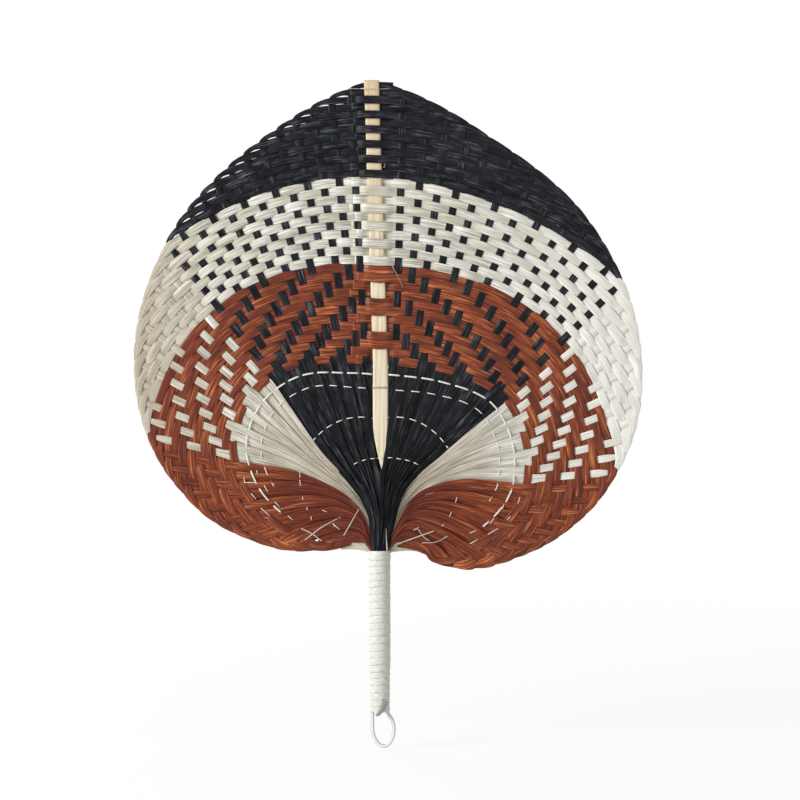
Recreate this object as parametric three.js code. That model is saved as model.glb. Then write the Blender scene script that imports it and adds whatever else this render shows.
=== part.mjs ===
// Heart-shaped hand fan woven from flat split strips on a split-cane spine.
// Millimetres, +Z up, the front of the blade towards -Y, the origin in the middle of the grip.
// Every strip leaves the wrapped handle, spreads as a straight rib across the weave, folds over at
// the rim and comes back as a row of the weave. A left and a right strip of the same number meet
// behind the spine, so the two are one hoop here.

import * as THREE from "three";

// Overall sizes
const bladeReach = 229.3;       // from the pole of the weave to the rim at the top of the spine
const poleHeight = 94.7;        // height of the pole of the weave above the middle of the grip
const poleSideways = -1.2;      // the pole stands a little to the left of the handle's axis
const gripLength = 94.6;        // length of the wrapped handle

// Strips
const stripThickness = 0.35;
const foldWidth = 3.9;          // width of a strip where it folds over at the rim
const rowWidth = 3.7;           // width of a row of the weave
const ribRootWidth = 2.4;       // width of a rib where it enters the weave
const waistWidth = 1.5;         // and where it turns from on edge to flat
const weaveLift = 1.15;         // how far a row stands in front of or behind the ribs
const windowMargin = 2.4;       // a rib lies straight from this far inside the first row

// Bundle of strip ends inside the handle
const bundleRadius = 5.7;
const bundleThickness = 0.28;   // the strips are pressed thinner where they are bound
const bundleWidth = 2.1;
const bundleClearance = 0.12;
const layerClearance = 0.25;

// Spine
const spineWidth = 8.4;
const spineThickness = 2.0;
const spineLift = 0.3;          // clearance between the spine and a row that passes it
const spineEdgeMargin = 0.35;
const tangWidth = 1.6;
const spineTipRise = 1.2;       // the spine ends this far above the topmost row
const spineTaperFoot = 93;      // height at which the spine starts to widen out of its tang
const spineTaper = 30;          // and the height that this takes
const spineJoint = 143;         // height of the cane's joint
const spineTopOffset = -5.0;    // sideways place of the spine's tip
const spineWindowOffset = 0.3;  // and of its middle at the edge of the window
const nodeSwell = 0.5;          // the joint of the cane stands out by this on each side
const nodeHeight = 2.6;

// Ribbon round the handle
const ribbonTurns = 23;
const ribbonGap = 0.56;
const ribbonThickness = 0.45;
const ribbonClearance = 0.25;

// Stitching threads and pale end strips
const threadThickness = 0.6;
const threadLift = 1.8;
const threadSteepness = 3.2;     // a thread that climbs over a rib clears its edge at this slope
const threadInsets = [4.0, 11.5, 26.0];
const threadRibs = [29, 26, 13];
const paleWidth = 2.4;
const paleLift = 2.4;           // how far it lies in front of the blade's middle plane
const paleReach = 33;
const paleRise = 5;
const paleLean = 1.2;           // and how far it leans out while it rises
const paleEndRise = 0.5;

// Hanging loop of thin cord
const cordDiameter = 2;
const cordClearance = 0.2;      // between the butt and the swinging ends of the cord

// Numbers of strips on one side of the spine, from the spine outwards
const blackStrips = 13;
const naturalStrips = 10;
const rustStrips = 12;
const stripCount = blackStrips + naturalStrips + rustStrips;
const rustStart = blackStrips + naturalStrips + 1;

// Edges of the colour bands of the rows, as shares of the reach, every 20 degrees from the top
const edgeStep = 20;
const windowShares = {
  right: [0.267, 0.277, 0.310, 0.369, 0.379, 0.374, 0.328, 0.274, 0.226, 0.195],
  left: [0.267, 0.287, 0.341, 0.372, 0.372, 0.332, 0.280, 0.240, 0.210, 0.195],
};
const rustBandShares = {
  right: [0.256, 0.256, 0.256, 0.221, 0.221, 0.222, 0.230, 0.235, 0.235, 0.235],
  left: [0.256, 0.264, 0.244, 0.228, 0.221, 0.230, 0.240, 0.240, 0.240, 0.240],
};
const naturalBandShares = {
  right: [0.226, 0.208, 0.197, 0.200, 0.200, 0.200, 0.200, 0.200, 0.200, 0.200],
  left: [0.226, 0.213, 0.200, 0.200, 0.200, 0.200, 0.200, 0.200, 0.200, 0.200],
};
const blackRowShare = 0.0190;

// Angles from the top, in degrees, of some strips' folds and of their ribs at the window's edge
const anchorStrips = [1, 5, 9, 13, 18, 23, 27, 31, 35];
const foldAngles = {
  right: [3.9, 18.5, 36.9, 52.4, 71.5, 90.5, 105.5, 123, 149],
  left: [4.2, 16.5, 29.5, 42.9, 62, 81.5, 97, 119, 148],
};
const rootAngles = {
  right: [9.5, 26.5, 43.5, 61, 78, 94, 110, 127, 149],
  left: [7.5, 21, 34.5, 48.5, 66.5, 85, 102, 123, 148],
};
const neckRiseShares = [0.15, 0.15, 0.15, 0.15, 0.15, 0.15, 0.13, 0.10, 0.035];
const neckPullShare = 0.4;      // a rib runs straight down from its root over this share of its neck

const RIGHT = { name: "right", sign: 1 };
const LEFT = { name: "left", sign: -1 };
const toRadians = THREE.MathUtils.degToRad;
const Y_AXIS = new THREE.Vector3(0, 1, 0);

// Value at a place in an evenly spaced or listed table, straight between its entries.
function interpolate(places, values, place) {
  let index = 0;
  while (index < places.length - 2 && places[index + 1] < place) index += 1;
  const share = (place - places[index]) / (places[index + 1] - places[index]);
  return THREE.MathUtils.lerp(values[index], values[index + 1], share);
}

const edgeAngles = windowShares.right.map((_, index) => index * edgeStep);

function anchored(values, strip) {
  return interpolate(anchorStrips, values, strip);
}

// Distance from the pole to the middle of a row, at an angle in degrees to one side of the top.
function rowRadius(strip, angle, side) {
  const windowEdge = interpolate(edgeAngles, windowShares[side.name], angle);
  const rustBand = interpolate(edgeAngles, rustBandShares[side.name], angle);
  const naturalBand = interpolate(edgeAngles, naturalBandShares[side.name], angle);
  let share = windowEdge;
  if (strip >= rustStart) {
    share += rustBand * (stripCount + 0.5 - strip) / rustStrips;
  } else if (strip > blackStrips) {
    share += rustBand + naturalBand * (rustStart - 0.5 - strip) / naturalStrips;
  } else {
    share += rustBand + naturalBand + blackRowShare * (blackStrips + 0.5 - strip);
  }
  return share * bladeReach;
}

// Point of the blade's middle plane at a distance and an angle from the pole.
function polarPoint(radius, angle, side) {
  const turn = toRadians(angle) * side.sign;
  const x = poleSideways + radius * Math.sin(turn);
  return new THREE.Vector3(x, 0, poleHeight + radius * Math.cos(turn));
}

// Angle from the top, in degrees, and distance from the pole, of a point in the middle plane.
function toPolar(point) {
  const x = point.x - poleSideways;
  const z = point.z - poleHeight;
  return { radius: Math.hypot(x, z), angle: Math.abs(THREE.MathUtils.radToDeg(Math.atan2(x, z))) };
}

// Slots for the strip ends on one side of the handle's axis, in four layers, innermost first.
function bundleSlots() {
  const slots = [];
  const pitch = bundleThickness + bundleClearance;
  const layerPitch = bundleWidth + layerClearance;
  for (const layer of [-1.5, -0.5, 0.5, 1.5]) {
    const y = layer * layerPitch;
    const outerY = Math.abs(y) + bundleWidth / 2;
    const halfChord = Math.sqrt(bundleRadius ** 2 - outerY ** 2);
    for (let x = pitch / 2; x + pitch / 2 < halfChord; x += pitch) {
      const besideTang = x - pitch / 2 < tangWidth / 2 + bundleClearance;
      const innerY = Math.abs(y) - bundleWidth / 2;
      const behindTang = innerY < spineThickness / 2 + bundleClearance;
      if (!(besideTang && behindTang)) slots.push({ x, y });
    }
  }
  slots.sort((a, b) => a.x - b.x || b.y - a.y);
  return slots;
}

const slots = bundleSlots();
const gripTop = gripLength / 2;
const gripButt = -gripLength / 2;

// The rib of a strip: its slot in the handle, its root at the window and its fold at the rim.
function makeRib(strip, side) {
  const slot = slots[strip - 1];
  const start = new THREE.Vector3(slot.x * side.sign, 0, gripTop);
  const foldAngle = anchored(foldAngles[side.name], strip);
  const rootAngle = anchored(rootAngles[side.name], strip);
  const windowEdge = interpolate(edgeAngles, windowShares[side.name], rootAngle) * bladeReach;
  const fold = polarPoint(rowRadius(strip, foldAngle, side), foldAngle, side);
  const root = polarPoint(windowEdge - windowMargin, rootAngle, side);
  const direction = fold.clone().sub(root).normalize();
  const rise = anchored(neckRiseShares, strip) * bladeReach;
  const reach = start.distanceTo(root);
  const neck = new THREE.CubicBezierCurve3(
    start,
    new THREE.Vector3(start.x, 0, gripTop + rise),
    root.clone().addScaledVector(direction, -reach * neckPullShare),
    root,
  );
  return { strip, side, slot, start, root, fold, direction, neck };
}

const ribs = { right: [], left: [] };
for (const side of [RIGHT, LEFT]) {
  for (let strip = 1; strip <= stripCount; strip += 1) ribs[side.name].push(makeRib(strip, side));
}

// Sideways direction of a flat strip that runs along a direction in the blade's plane.
function sideways(direction) {
  return new THREE.Vector3(direction.z, 0, -direction.x);
}

// Four corners of a strip: flat in the blade's plane at a turn of 1, on edge at a turn of 0.
function stripRing(centre, direction, turn, width, thickness) {
  const angle = turn * Math.PI / 2;
  const across = sideways(direction).multiplyScalar(Math.sin(angle));
  across.addScaledVector(Y_AXIS, Math.cos(angle));
  const through = sideways(direction).multiplyScalar(Math.cos(angle));
  through.addScaledVector(Y_AXIS, -Math.sin(angle));
  return ringCorners(centre, across.multiplyScalar(width / 2), through.multiplyScalar(thickness / 2));
}

function ringCorners(centre, across, through) {
  return [
    centre.clone().add(across).add(through),
    centre.clone().add(across).sub(through),
    centre.clone().sub(across).sub(through),
    centre.clone().sub(across).add(through),
  ];
}

// The four-sided faces between the rings of a body, as the numbers of their corners.
function sideFaces(ringCount, corners) {
  const faces = [];
  for (let ring = 0; ring < ringCount - 1; ring += 1) {
    for (let corner = 0; corner < corners; corner += 1) {
      const a = ring * corners + corner;
      const b = ring * corners + (corner + 1) % corners;
      faces.push([a, b, b + corners, a + corners]);
    }
  }
  return faces;
}

// A closed body through rings of corners, its two ends capped. A twisted side is split along the
// diagonal that bulges outwards, so that the walls of a thin strip stay apart.
function loft(rings) {
  const corners = rings[0].length;
  const points = rings.flat();
  const last = points.length - corners;
  const caps = [];
  for (let corner = 1; corner < corners - 1; corner += 1) {
    caps.push(0, corner + 1, corner, last, last + corner, last + corner + 1);
  }
  const sides = sideFaces(rings.length, corners);
  const plain = sides.flatMap(([a, b, c, d]) => [a, b, c, a, c, d]);
  const outwards = Math.sign(signedVolume(points, [...plain, ...caps]));
  const split = sides.flatMap(([a, b, c, d]) => {
    const one = [a, b, c, a, c, d];
    const other = [a, b, d, b, c, d];
    return outwards * (signedVolume(points, one) - signedVolume(points, other)) < 0 ? other : one;
  });
  const indices = [...split, ...caps];
  const positions = points.flatMap((point) => [point.x, point.y, point.z]);
  const geometry = new THREE.BufferGeometry();
  geometry.setAttribute("position", new THREE.Float32BufferAttribute(positions, 3));
  geometry.setIndex(outwards < 0 ? indices.reverse() : indices);
  geometry.computeVertexNormals();
  return geometry;
}

function signedVolume(points, indices) {
  let sixfold = 0;
  for (let face = 0; face < indices.length; face += 3) {
    const [a, b, c] = indices.slice(face, face + 3).map((index) => points[index]);
    sixfold += a.dot(b.clone().cross(c));
  }
  return sixfold / 6;
}

// Rings of a strip from its end in the handle to the root of its rib, where it lies flat. The
// heading is 1 where the hoop runs outwards along the rib and -1 where it runs back.
const neckShares = [0, 0.15, 0.3, 0.5, 0.7, 0.85, 1];
const neckTurn = (share) => THREE.MathUtils.smoothstep(share, 0.4, 0.85);
const waistShare = 0.6;
const neckWidth = (share) => (share < waistShare
  ? THREE.MathUtils.mapLinear(share, 0, waistShare, bundleWidth, waistWidth)
  : THREE.MathUtils.mapLinear(share, waistShare, 1, waistWidth, ribRootWidth));
const neckDepth = (rib, share) => rib.slot.y * (1 - THREE.MathUtils.smoothstep(share, 0.2, 0.75));
function neckRings(rib, heading) {
  const up = new THREE.Vector3(0, 0, heading);
  const butt = new THREE.Vector3(rib.start.x, rib.slot.y, gripButt);
  const rings = [stripRing(butt, up, 0, bundleWidth, bundleThickness)];
  for (const share of neckShares) {
    const centre = rib.neck.getPoint(share);
    centre.y = neckDepth(rib, share);
    const direction = rib.neck.getTangent(share).multiplyScalar(heading);
    const thick = THREE.MathUtils.lerp(bundleThickness, stripThickness, share);
    rings.push(stripRing(centre, direction, neckTurn(share), neckWidth(share), thick));
  }
  return rings;
}

// Share of the way along a path at which it crosses a curve given by its distance from the pole.
function crossingShare(pointAt, radiusAt, start) {
  let low = start;
  let high = 1;
  for (let step = 0; step < 24; step += 1) {
    const middle = (low + high) / 2;
    const polar = toPolar(pointAt(middle));
    if (polar.radius > radiusAt(polar.angle)) high = middle;
    else low = middle;
  }
  return low;
}

// Whether a rib, or the spine as number 0, passes in front of a row: over one and under one,
// and in the rust rows over two and under two, a step further along at each rib. The topmost row
// lies behind the tip of the spine, as the next one does.
function ribInFront(row, rib) {
  if (row === 1 && rib === 0) return true;
  if (row < rustStart) return (row + rib) % 2 === 0;
  return [2, 3].includes((((row - rib) % 4) + 4) % 4);
}

// Sideways place and direction of the spine at a height above the pole.
const spineSlope = (spineTopOffset - spineWindowOffset) / (bladeReach * (1 - windowShares.right[0]));
const windowTop = poleHeight + bladeReach * windowShares.right[0];
function spineCentre(z) {
  return spineWindowOffset + Math.max(z - windowTop, 0) * spineSlope;
}

// Points where a row meets the ribs of one side, from its fold towards the spine.
function rowStations(row, side) {
  const stations = [];
  for (let number = row - 1; number >= 1; number -= 1) {
    const rib = ribs[side.name][number - 1];
    const straight = (share) => rib.root.clone().lerp(rib.fold, share);
    const centre = straight(crossingShare(straight, (angle) => rowRadius(row, angle, side), 0));
    const lift = ribInFront(row, number) ? weaveLift : -weaveLift;
    stations.push({ centre, along: rib.direction, lift });
  }
  return stations;
}

// The two points where a row passes the edges of the spine, from right to left.
function spineStations(row) {
  const z = poleHeight + rowRadius(row, 0, RIGHT);
  const lift = spineThickness / 2 + stripThickness / 2 + spineLift;
  const along = new THREE.Vector3(spineSlope, 0, 1).normalize();
  return [1, -1].map((sign) => {
    const x = spineCentre(z) + sign * (spineWidth / 2 + spineEdgeMargin);
    return { centre: new THREE.Vector3(x, 0, z), along, lift: ribInFront(row, 0) ? lift : -lift };
  });
}

// Rings of a row of the weave between its two folds, creased along the ribs that it crosses.
function rowRings(row) {
  const right = ribs.right[row - 1];
  const left = ribs.left[row - 1];
  const stations = [
    { centre: right.fold, fold: right.direction.clone() },
    ...rowStations(row, RIGHT),
    ...spineStations(row),
    ...rowStations(row, LEFT).reverse(),
    { centre: left.fold, fold: left.direction.clone().negate() },
  ];
  const flat = (point) => new THREE.Vector3(point.x, 0, point.z);
  return stations.map((station, index) => {
    const before = flat(stations[Math.max(index - 1, 0)].centre);
    const after = flat(stations[Math.min(index + 1, stations.length - 1)].centre);
    const heading = after.sub(before).normalize();
    const normal = sideways(heading);
    const through = Y_AXIS.clone().multiplyScalar(-stripThickness / 2);
    if (station.fold) {
      const bisector = sideways(station.fold).add(normal).normalize();
      const stretch = 1 / Math.max(bisector.dot(normal), 0.5);
      return ringCorners(station.centre, bisector.multiplyScalar(foldWidth / 2 * stretch), through);
    }
    const across = station.along.clone();
    across.multiplyScalar(rowWidth / 2 / across.dot(normal));
    const centre = station.centre.clone().addScaledVector(Y_AXIS, station.lift);
    return ringCorners(centre, across, through);
  });
}

// One hoop: up from the handle on the right, out along the rib, back as a row and down on the left.
function stripHoop(strip) {
  const right = ribs.right[strip - 1];
  const left = ribs.left[strip - 1];
  return loft([...neckRings(right, 1), ...rowRings(strip), ...neckRings(left, -1).reverse()]);
}

// The spine: a flat tang among the strips in the handle, a short taper, and a rounded lath with
// one joint of the cane, which leans a little to the left towards its tip.
const spineTaperShares = [[0, 0], [0.25, 0.45], [1, 1]];
function spineRing(z, width, thickness) {
  const outline = [[-0.5, 0.5], [0.5, 0.5], [0.5, -0.15], [0.3, -0.5], [-0.3, -0.5], [-0.5, -0.15]];
  const x = spineCentre(z);
  return outline.map(([u, v]) => new THREE.Vector3(x + u * width, v * thickness, z));
}

function spineGeometry() {
  const tip = poleHeight + rowRadius(1, 0, RIGHT) + rowWidth / 2 + spineTipRise;
  const rings = [spineRing(gripButt, tangWidth, spineThickness)];
  for (const [rise, spread] of spineTaperShares) {
    const width = THREE.MathUtils.lerp(tangWidth, spineWidth, spread);
    rings.push(spineRing(spineTaperFoot + rise * spineTaper, width, spineThickness));
  }
  for (const [rise, swell] of [[-1, 0], [-0.3, 1], [0.3, 1], [1, 0]]) {
    const z = spineJoint + rise * nodeHeight;
    const growth = swell * nodeSwell;
    rings.push(spineRing(z, spineWidth + growth, spineThickness + growth));
  }
  rings.push(spineRing(windowTop, spineWidth, spineThickness));
  rings.push(spineRing(tip, spineWidth, spineThickness));
  return loft(rings);
}

// The ribbon wound round the bundle of strips, one band with a clear gap between its turns.
const ribbonSteps = 16;
const ribbonPitch = gripLength / ribbonTurns;
const ribbonWidth = ribbonPitch - ribbonGap;
const ribbonInner = bundleRadius + ribbonClearance;
const ribbonMiddle = ribbonInner + ribbonThickness / 2;

function ribbonRing(turn, slide) {
  const angle = turn * 2 * Math.PI;
  const outwards = new THREE.Vector3(Math.cos(angle), Math.sin(angle), 0);
  const onwards = new THREE.Vector3(-Math.sin(angle), Math.cos(angle), 0);
  const z = gripButt + ribbonWidth / 2 + turn * ribbonPitch;
  const centre = outwards.clone().multiplyScalar(ribbonMiddle).setZ(z);
  centre.addScaledVector(onwards, slide);
  const across = new THREE.Vector3(0, 0, ribbonWidth / 2);
  return ringCorners(centre, across, outwards.multiplyScalar(ribbonThickness / 2));
}

function ribbonRings() {
  const steps = Math.round((ribbonTurns - ribbonWidth / ribbonPitch) * ribbonSteps);
  const rings = [ribbonRing(0, -ribbonThickness)];
  for (let step = 0; step <= steps; step += 1) rings.push(ribbonRing(step / ribbonSteps, 0));
  rings.push(ribbonRing(steps / ribbonSteps, ribbonThickness));
  return rings;
}

// Least distance between one turn of the ribbon and the next, measured on points of its edges.
function ribbonSelfGap(rings) {
  let least = Infinity;
  for (let ring = 1; ring + ribbonSteps < rings.length - 1; ring += 1) {
    for (const corner of rings[ring]) {
      for (const other of rings[ring + ribbonSteps]) least = Math.min(least, corner.distanceTo(other));
    }
  }
  return least;
}

// A stitching thread that runs round inside the weave, in front of one rib and behind the next.
function threadStations(inset, lastRib, side) {
  const radiusAt = (angle) => {
    const edge = interpolate(edgeAngles, windowShares[side.name], angle) * bladeReach;
    return edge - inset;
  };
  const stations = [];
  for (const rib of ribs[side.name].slice(0, lastRib)) {
    const share = crossingShare((place) => rib.neck.getPoint(place), radiusAt, 0.3);
    const turn = neckTurn(share) * Math.PI / 2;
    const depth = Math.cos(turn) * neckWidth(share) / 2 + Math.sin(turn) * stripThickness / 2;
    const lift = Math.max(threadLift, threadSteepness * (depth + threadThickness / 2));
    const centre = rib.neck.getPoint(share);
    centre.y = neckDepth(rib, share) + (rib.strip % 2 === 0 ? lift : -lift);
    stations.push({ centre, along: rib.neck.getTangent(share) });
  }
  return stations;
}

function threadGeometry(inset, lastRib) {
  const right = threadStations(inset, lastRib, RIGHT).reverse();
  const left = threadStations(inset, lastRib, LEFT);
  const z = windowTop - inset;
  const y = spineThickness / 2 + threadThickness / 2 + spineLift;
  const behind = [1, -1].map((sign) => ({
    centre: new THREE.Vector3(spineCentre(z) + sign * (spineWidth / 2 + spineEdgeMargin), y, z),
    along: new THREE.Vector3(0, 0, 1),
  }));
  const half = threadThickness / 2;
  const through = Y_AXIS.clone().multiplyScalar(-half);
  return loft([...right, ...behind, ...left].map(({ centre, along }) =>
    ringCorners(centre, along.multiplyScalar(half), through)));
}

// A pale strip that leaves the handle outermost and lies in front of the lowest rust strips.
const palePullShare = 0.4;
const paleSpanShares = [0, 0.1, 0.2, 0.3, 0.4, 0.5, 0.6, 0.7, 1];
function paleGeometry(side) {
  const slot = slots[stripCount];
  const start = new THREE.Vector3(slot.x * side.sign, 0, gripTop);
  const end = new THREE.Vector3(paleReach * side.sign, 0, gripTop + paleEndRise);
  const path = new THREE.CubicBezierCurve3(
    start,
    new THREE.Vector3(start.x + paleLean * side.sign, 0, gripTop + paleRise),
    new THREE.Vector3(paleReach * palePullShare * side.sign, 0, gripTop + paleRise),
    end,
  );
  const up = new THREE.Vector3(0, 0, 1);
  const butt = new THREE.Vector3(start.x, slot.y, gripButt);
  const rings = [stripRing(butt, up, 0, bundleWidth, bundleThickness)];
  for (const share of paleSpanShares) {
    const centre = path.getPoint(share);
    centre.y = THREE.MathUtils.lerp(slot.y, -paleLift, THREE.MathUtils.smoothstep(share, 0, 0.3));
    const turn = side.sign * THREE.MathUtils.smoothstep(share, 0.2, 0.7);
    const width = THREE.MathUtils.lerp(bundleWidth, paleWidth, share);
    rings.push(stripRing(centre, path.getTangent(share), turn, width, bundleThickness));
  }
  return loft(rings);
}

// The hanging loop: a thin cord whose two ends swing just under the butt of the handle.
const swingHeight = gripButt - cordDiameter / 2 - cordClearance;
const loopRoute = [
  [-4.4, -48.5], [-4.5, -52], [-4.4, -56], [-4, -60.2], [-2.4, -64.4], [0.4, -67.2], [3.5, -67.6],
  [6.1, -65.4], [7.8, -61.4], [8.2, -56.8], [7.1, -52.2], [4.6, -48.5],
];
const loopSteps = 18;
function loopGeometry() {
  const route = loopRoute.map(([x, z]) => new THREE.Vector3(x, 0, z));
  route[0].z = swingHeight;
  route[route.length - 1].z = swingHeight;
  const section = new THREE.Shape();
  for (let corner = 0; corner < 8; corner += 1) {
    const angle = (corner / 8) * 2 * Math.PI;
    const place = [Math.cos(angle) * cordDiameter / 2, Math.sin(angle) * cordDiameter / 2];
    if (corner === 0) section.moveTo(...place);
    else section.lineTo(...place);
  }
  const extrudePath = new THREE.CatmullRomCurve3(route);
  return new THREE.ExtrudeGeometry(section, { steps: loopSteps, extrudePath });
}

const COLOURS = { black: "#1c1f26", natural: "#ddd6c2", rust: "#a34a2a", spine: "#e6d5a9",
  ribbon: "#e8e8de", thread: "#ddd5c4", cord: "#e6e6e6" };

function stripColour(strip) {
  if (strip <= blackStrips) return "black";
  return strip < rustStart ? "natural" : "rust";
}

function namedMesh(name, geometry, color, roughness) {
  const material = new THREE.MeshStandardMaterial({ color, roughness, metalness: 0 });
  const mesh = new THREE.Mesh(geometry, material);
  mesh.name = name;
  return mesh;
}

const fan = new THREE.Group();
for (let strip = 1; strip <= stripCount; strip += 1) {
  const colour = stripColour(strip);
  const name = `${colour}_strip_${String(strip).padStart(2, "0")}`;
  fan.add(namedMesh(name, stripHoop(strip), COLOURS[colour], 0.6));
}

fan.add(namedMesh("spine", spineGeometry(), COLOURS.spine, 0.45));

const windings = ribbonRings();
console.log("least gap between turns of the ribbon, mm:", ribbonSelfGap(windings).toFixed(2));
fan.add(namedMesh("handle_ribbon", loft(windings), COLOURS.ribbon, 0.5));

threadInsets.forEach((inset, index) => {
  const geometry = threadGeometry(inset, threadRibs[index]);
  fan.add(namedMesh(`stitching_thread_${index + 1}`, geometry, COLOURS.thread, 0.8));
});

for (const side of [LEFT, RIGHT]) {
  fan.add(namedMesh(`pale_strip_${side.name}`, paleGeometry(side), COLOURS.natural, 0.6));
}

fan.add(namedMesh("hanging_loop", loopGeometry(), COLOURS.cord, 0.6));

export default fan;
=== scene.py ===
"""Dresses the woven strip fan: split strips, cane spine, wound handle, stitching and hanging loop.

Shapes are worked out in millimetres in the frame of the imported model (+Z up, the front of the blade
towards -Y, the origin in the middle of the grip) and become metres when a mesh is made.
"""

from __future__ import annotations

import logging
import math
from dataclasses import dataclass, field
from enum import Enum
from typing import Sequence

import bpy
import numpy as np
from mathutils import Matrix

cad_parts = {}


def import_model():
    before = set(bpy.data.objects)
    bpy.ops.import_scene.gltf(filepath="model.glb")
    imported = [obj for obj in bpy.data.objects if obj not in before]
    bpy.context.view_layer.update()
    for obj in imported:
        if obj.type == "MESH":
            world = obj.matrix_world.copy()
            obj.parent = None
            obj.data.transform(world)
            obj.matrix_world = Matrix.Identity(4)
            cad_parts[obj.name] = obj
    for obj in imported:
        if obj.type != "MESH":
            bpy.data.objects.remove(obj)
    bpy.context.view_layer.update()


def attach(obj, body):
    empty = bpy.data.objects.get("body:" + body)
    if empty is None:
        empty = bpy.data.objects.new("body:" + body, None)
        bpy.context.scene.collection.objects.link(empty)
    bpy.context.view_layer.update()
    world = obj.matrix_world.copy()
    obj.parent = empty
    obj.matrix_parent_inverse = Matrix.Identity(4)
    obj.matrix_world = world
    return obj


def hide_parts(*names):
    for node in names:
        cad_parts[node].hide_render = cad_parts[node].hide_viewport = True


LOG = logging.getLogger("woven_fan")
METRE = 0.001
PICTURE_SCALE = 0.588              # mm to a spot of the picture
PICTURE_MIDDLE = (380, 631)        # the spot where the origin is seen
Array = np.ndarray
Tube = tuple[Array, Array]         # rings (n, m, 3) in mm, and the places (n, m, 2) on them
Socket = bpy.types.NodeSocket


class Side(Enum):
    """The two sides of the spine, with the sign of their x."""

    RIGHT = 1.0
    LEFT = -1.0

    @property
    def other(self) -> Side:
        """Return the other side."""
        return Side.LEFT if self is Side.RIGHT else Side.RIGHT


class Colour(Enum):
    """The dye of a strip."""

    BLACK = "black"
    NATURAL = "natural"
    RUST = "rust"


# Small maths on whole arrays


def smoothstep(values: Array | float, low: float, high: float) -> Array:
    """Return 0 below low, 1 above high, and 3s^2 - 2s^3 of the share s in between."""
    share = np.clip((np.asarray(values, float) - low) / (high - low), 0.0, 1.0)
    return share * share * (3.0 - 2.0 * share)


def unit(vectors: Array) -> Array:
    """Return the vectors (n, d) scaled to length one."""
    return vectors / np.maximum(np.linalg.norm(vectors, axis=-1, keepdims=True), 1e-9)


def lengths_along(points: Array) -> Array:
    """Return the distance along a polyline (n, d) at each of its points, from 0."""
    steps = np.linalg.norm(np.diff(points, axis=0), axis=1)
    return np.concatenate([[0.0], np.cumsum(steps)])


def resample(points: Array, spacing: float, extra: Sequence[Array] = ()) -> tuple[Array, ...]:
    """Place points evenly along a polyline.

    Args:
        points: the polyline (n, d).
        spacing: distance between the new points, in mm.
        extra: values known at the old points, read off at the new ones.

    Returns:
        The new points and the new values of each extra array.
    """
    run = lengths_along(points)
    places = np.linspace(0.0, run[-1], max(int(round(run[-1] / spacing)), 2) + 1)
    new = np.stack([np.interp(places, run, points[:, i]) for i in range(points.shape[1])], 1)
    return (new, *(np.interp(places, run, values) for values in extra))


def soften(values: Array, passes: int) -> Array:
    """Average each point of (n, d) with its neighbours, the ends held, as often as passes says."""
    soft = np.array(values, float)
    for _ in range(passes):
        soft[1:-1] = 0.25 * soft[:-2] + 0.5 * soft[1:-1] + 0.25 * soft[2:]
    return soft


def bezier(corners: Sequence[Array], shares: Array) -> Array:
    """Return points of a cubic curve: (1-s)^3 A + 3(1-s)^2 s B + 3(1-s) s^2 C + s^3 D."""
    a, b, c, d = (np.asarray(corner, float) for corner in corners)
    s = shares[:, None]
    return (1 - s) ** 3 * a + 3 * (1 - s) ** 2 * s * b + 3 * (1 - s) * s**2 * c + s**3 * d


def tangents(points: Array) -> Array:
    """Return the unit direction of a path (n, d) at each of its points, from its neighbours."""
    return unit(np.gradient(points, axis=0))


# Meshes


def make_piece(name: str, tubes: Sequence[Tube], material: bpy.types.Material,
               seeds: Sequence[float] = ()) -> bpy.types.Object:
    """Make one piece of closed tubes through rings of corners, with a flat cap at each end.

    Args:
        name: the piece's name.
        tubes: for each tube its rings (n, m, 3) in mm and the places (n, m, 2) on its surface.
        material: the finish.
        seeds: one number a tube, kept in the third place of the attribute "run".

    Returns:
        The new object, riding on nothing yet.
    """
    points, faces, runs, offset = [], [], [], 0
    for (rings, places), seed in zip(tubes, seeds if len(seeds) else np.zeros(len(tubes))):
        count, around = rings.shape[:2]
        grid = offset + np.arange(count * around).reshape(count, around)
        right = np.roll(grid, -1, axis=1)
        quads = np.stack([grid[:-1], right[:-1], right[1:], grid[1:]], -1).reshape(-1, 4)
        caps = [grid[0][::-1], grid[-1]]
        if tube_volume(rings) < 0:
            quads, caps = quads[:, ::-1], [cap[::-1] for cap in caps]
        faces.extend(quads.tolist() + [cap.tolist() for cap in caps])
        run = np.concatenate([places, np.full((*places.shape[:2], 1), float(seed))], -1)
        points.append(rings.reshape(-1, 3))
        runs.append(run.reshape(-1, 3))
        offset += count * around
    mesh = bpy.data.meshes.new(name)
    mesh.from_pydata((np.vstack(points) * METRE).tolist(), [], faces)
    mesh.attributes.new("run", "FLOAT_VECTOR", "POINT").data.foreach_set(
        "vector", np.vstack(runs).astype(np.float32).ravel())
    mesh.polygons.foreach_set("use_smooth", np.ones(len(mesh.polygons), bool))
    mesh.materials.append(material)
    mesh.update()
    piece = bpy.data.objects.new(name, mesh)
    bpy.context.collection.objects.link(piece)
    return piece


def tube_volume(rings: Array) -> float:
    """Return about the signed volume of a tube: the sum over its rings of area times step."""
    centre = rings.mean(1)
    spokes = rings - centre[:, None]
    area = 0.5 * np.cross(spokes, np.roll(spokes, -1, axis=1)).sum(1)
    step = np.gradient(centre, axis=0)
    return float((area * step).sum())


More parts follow.
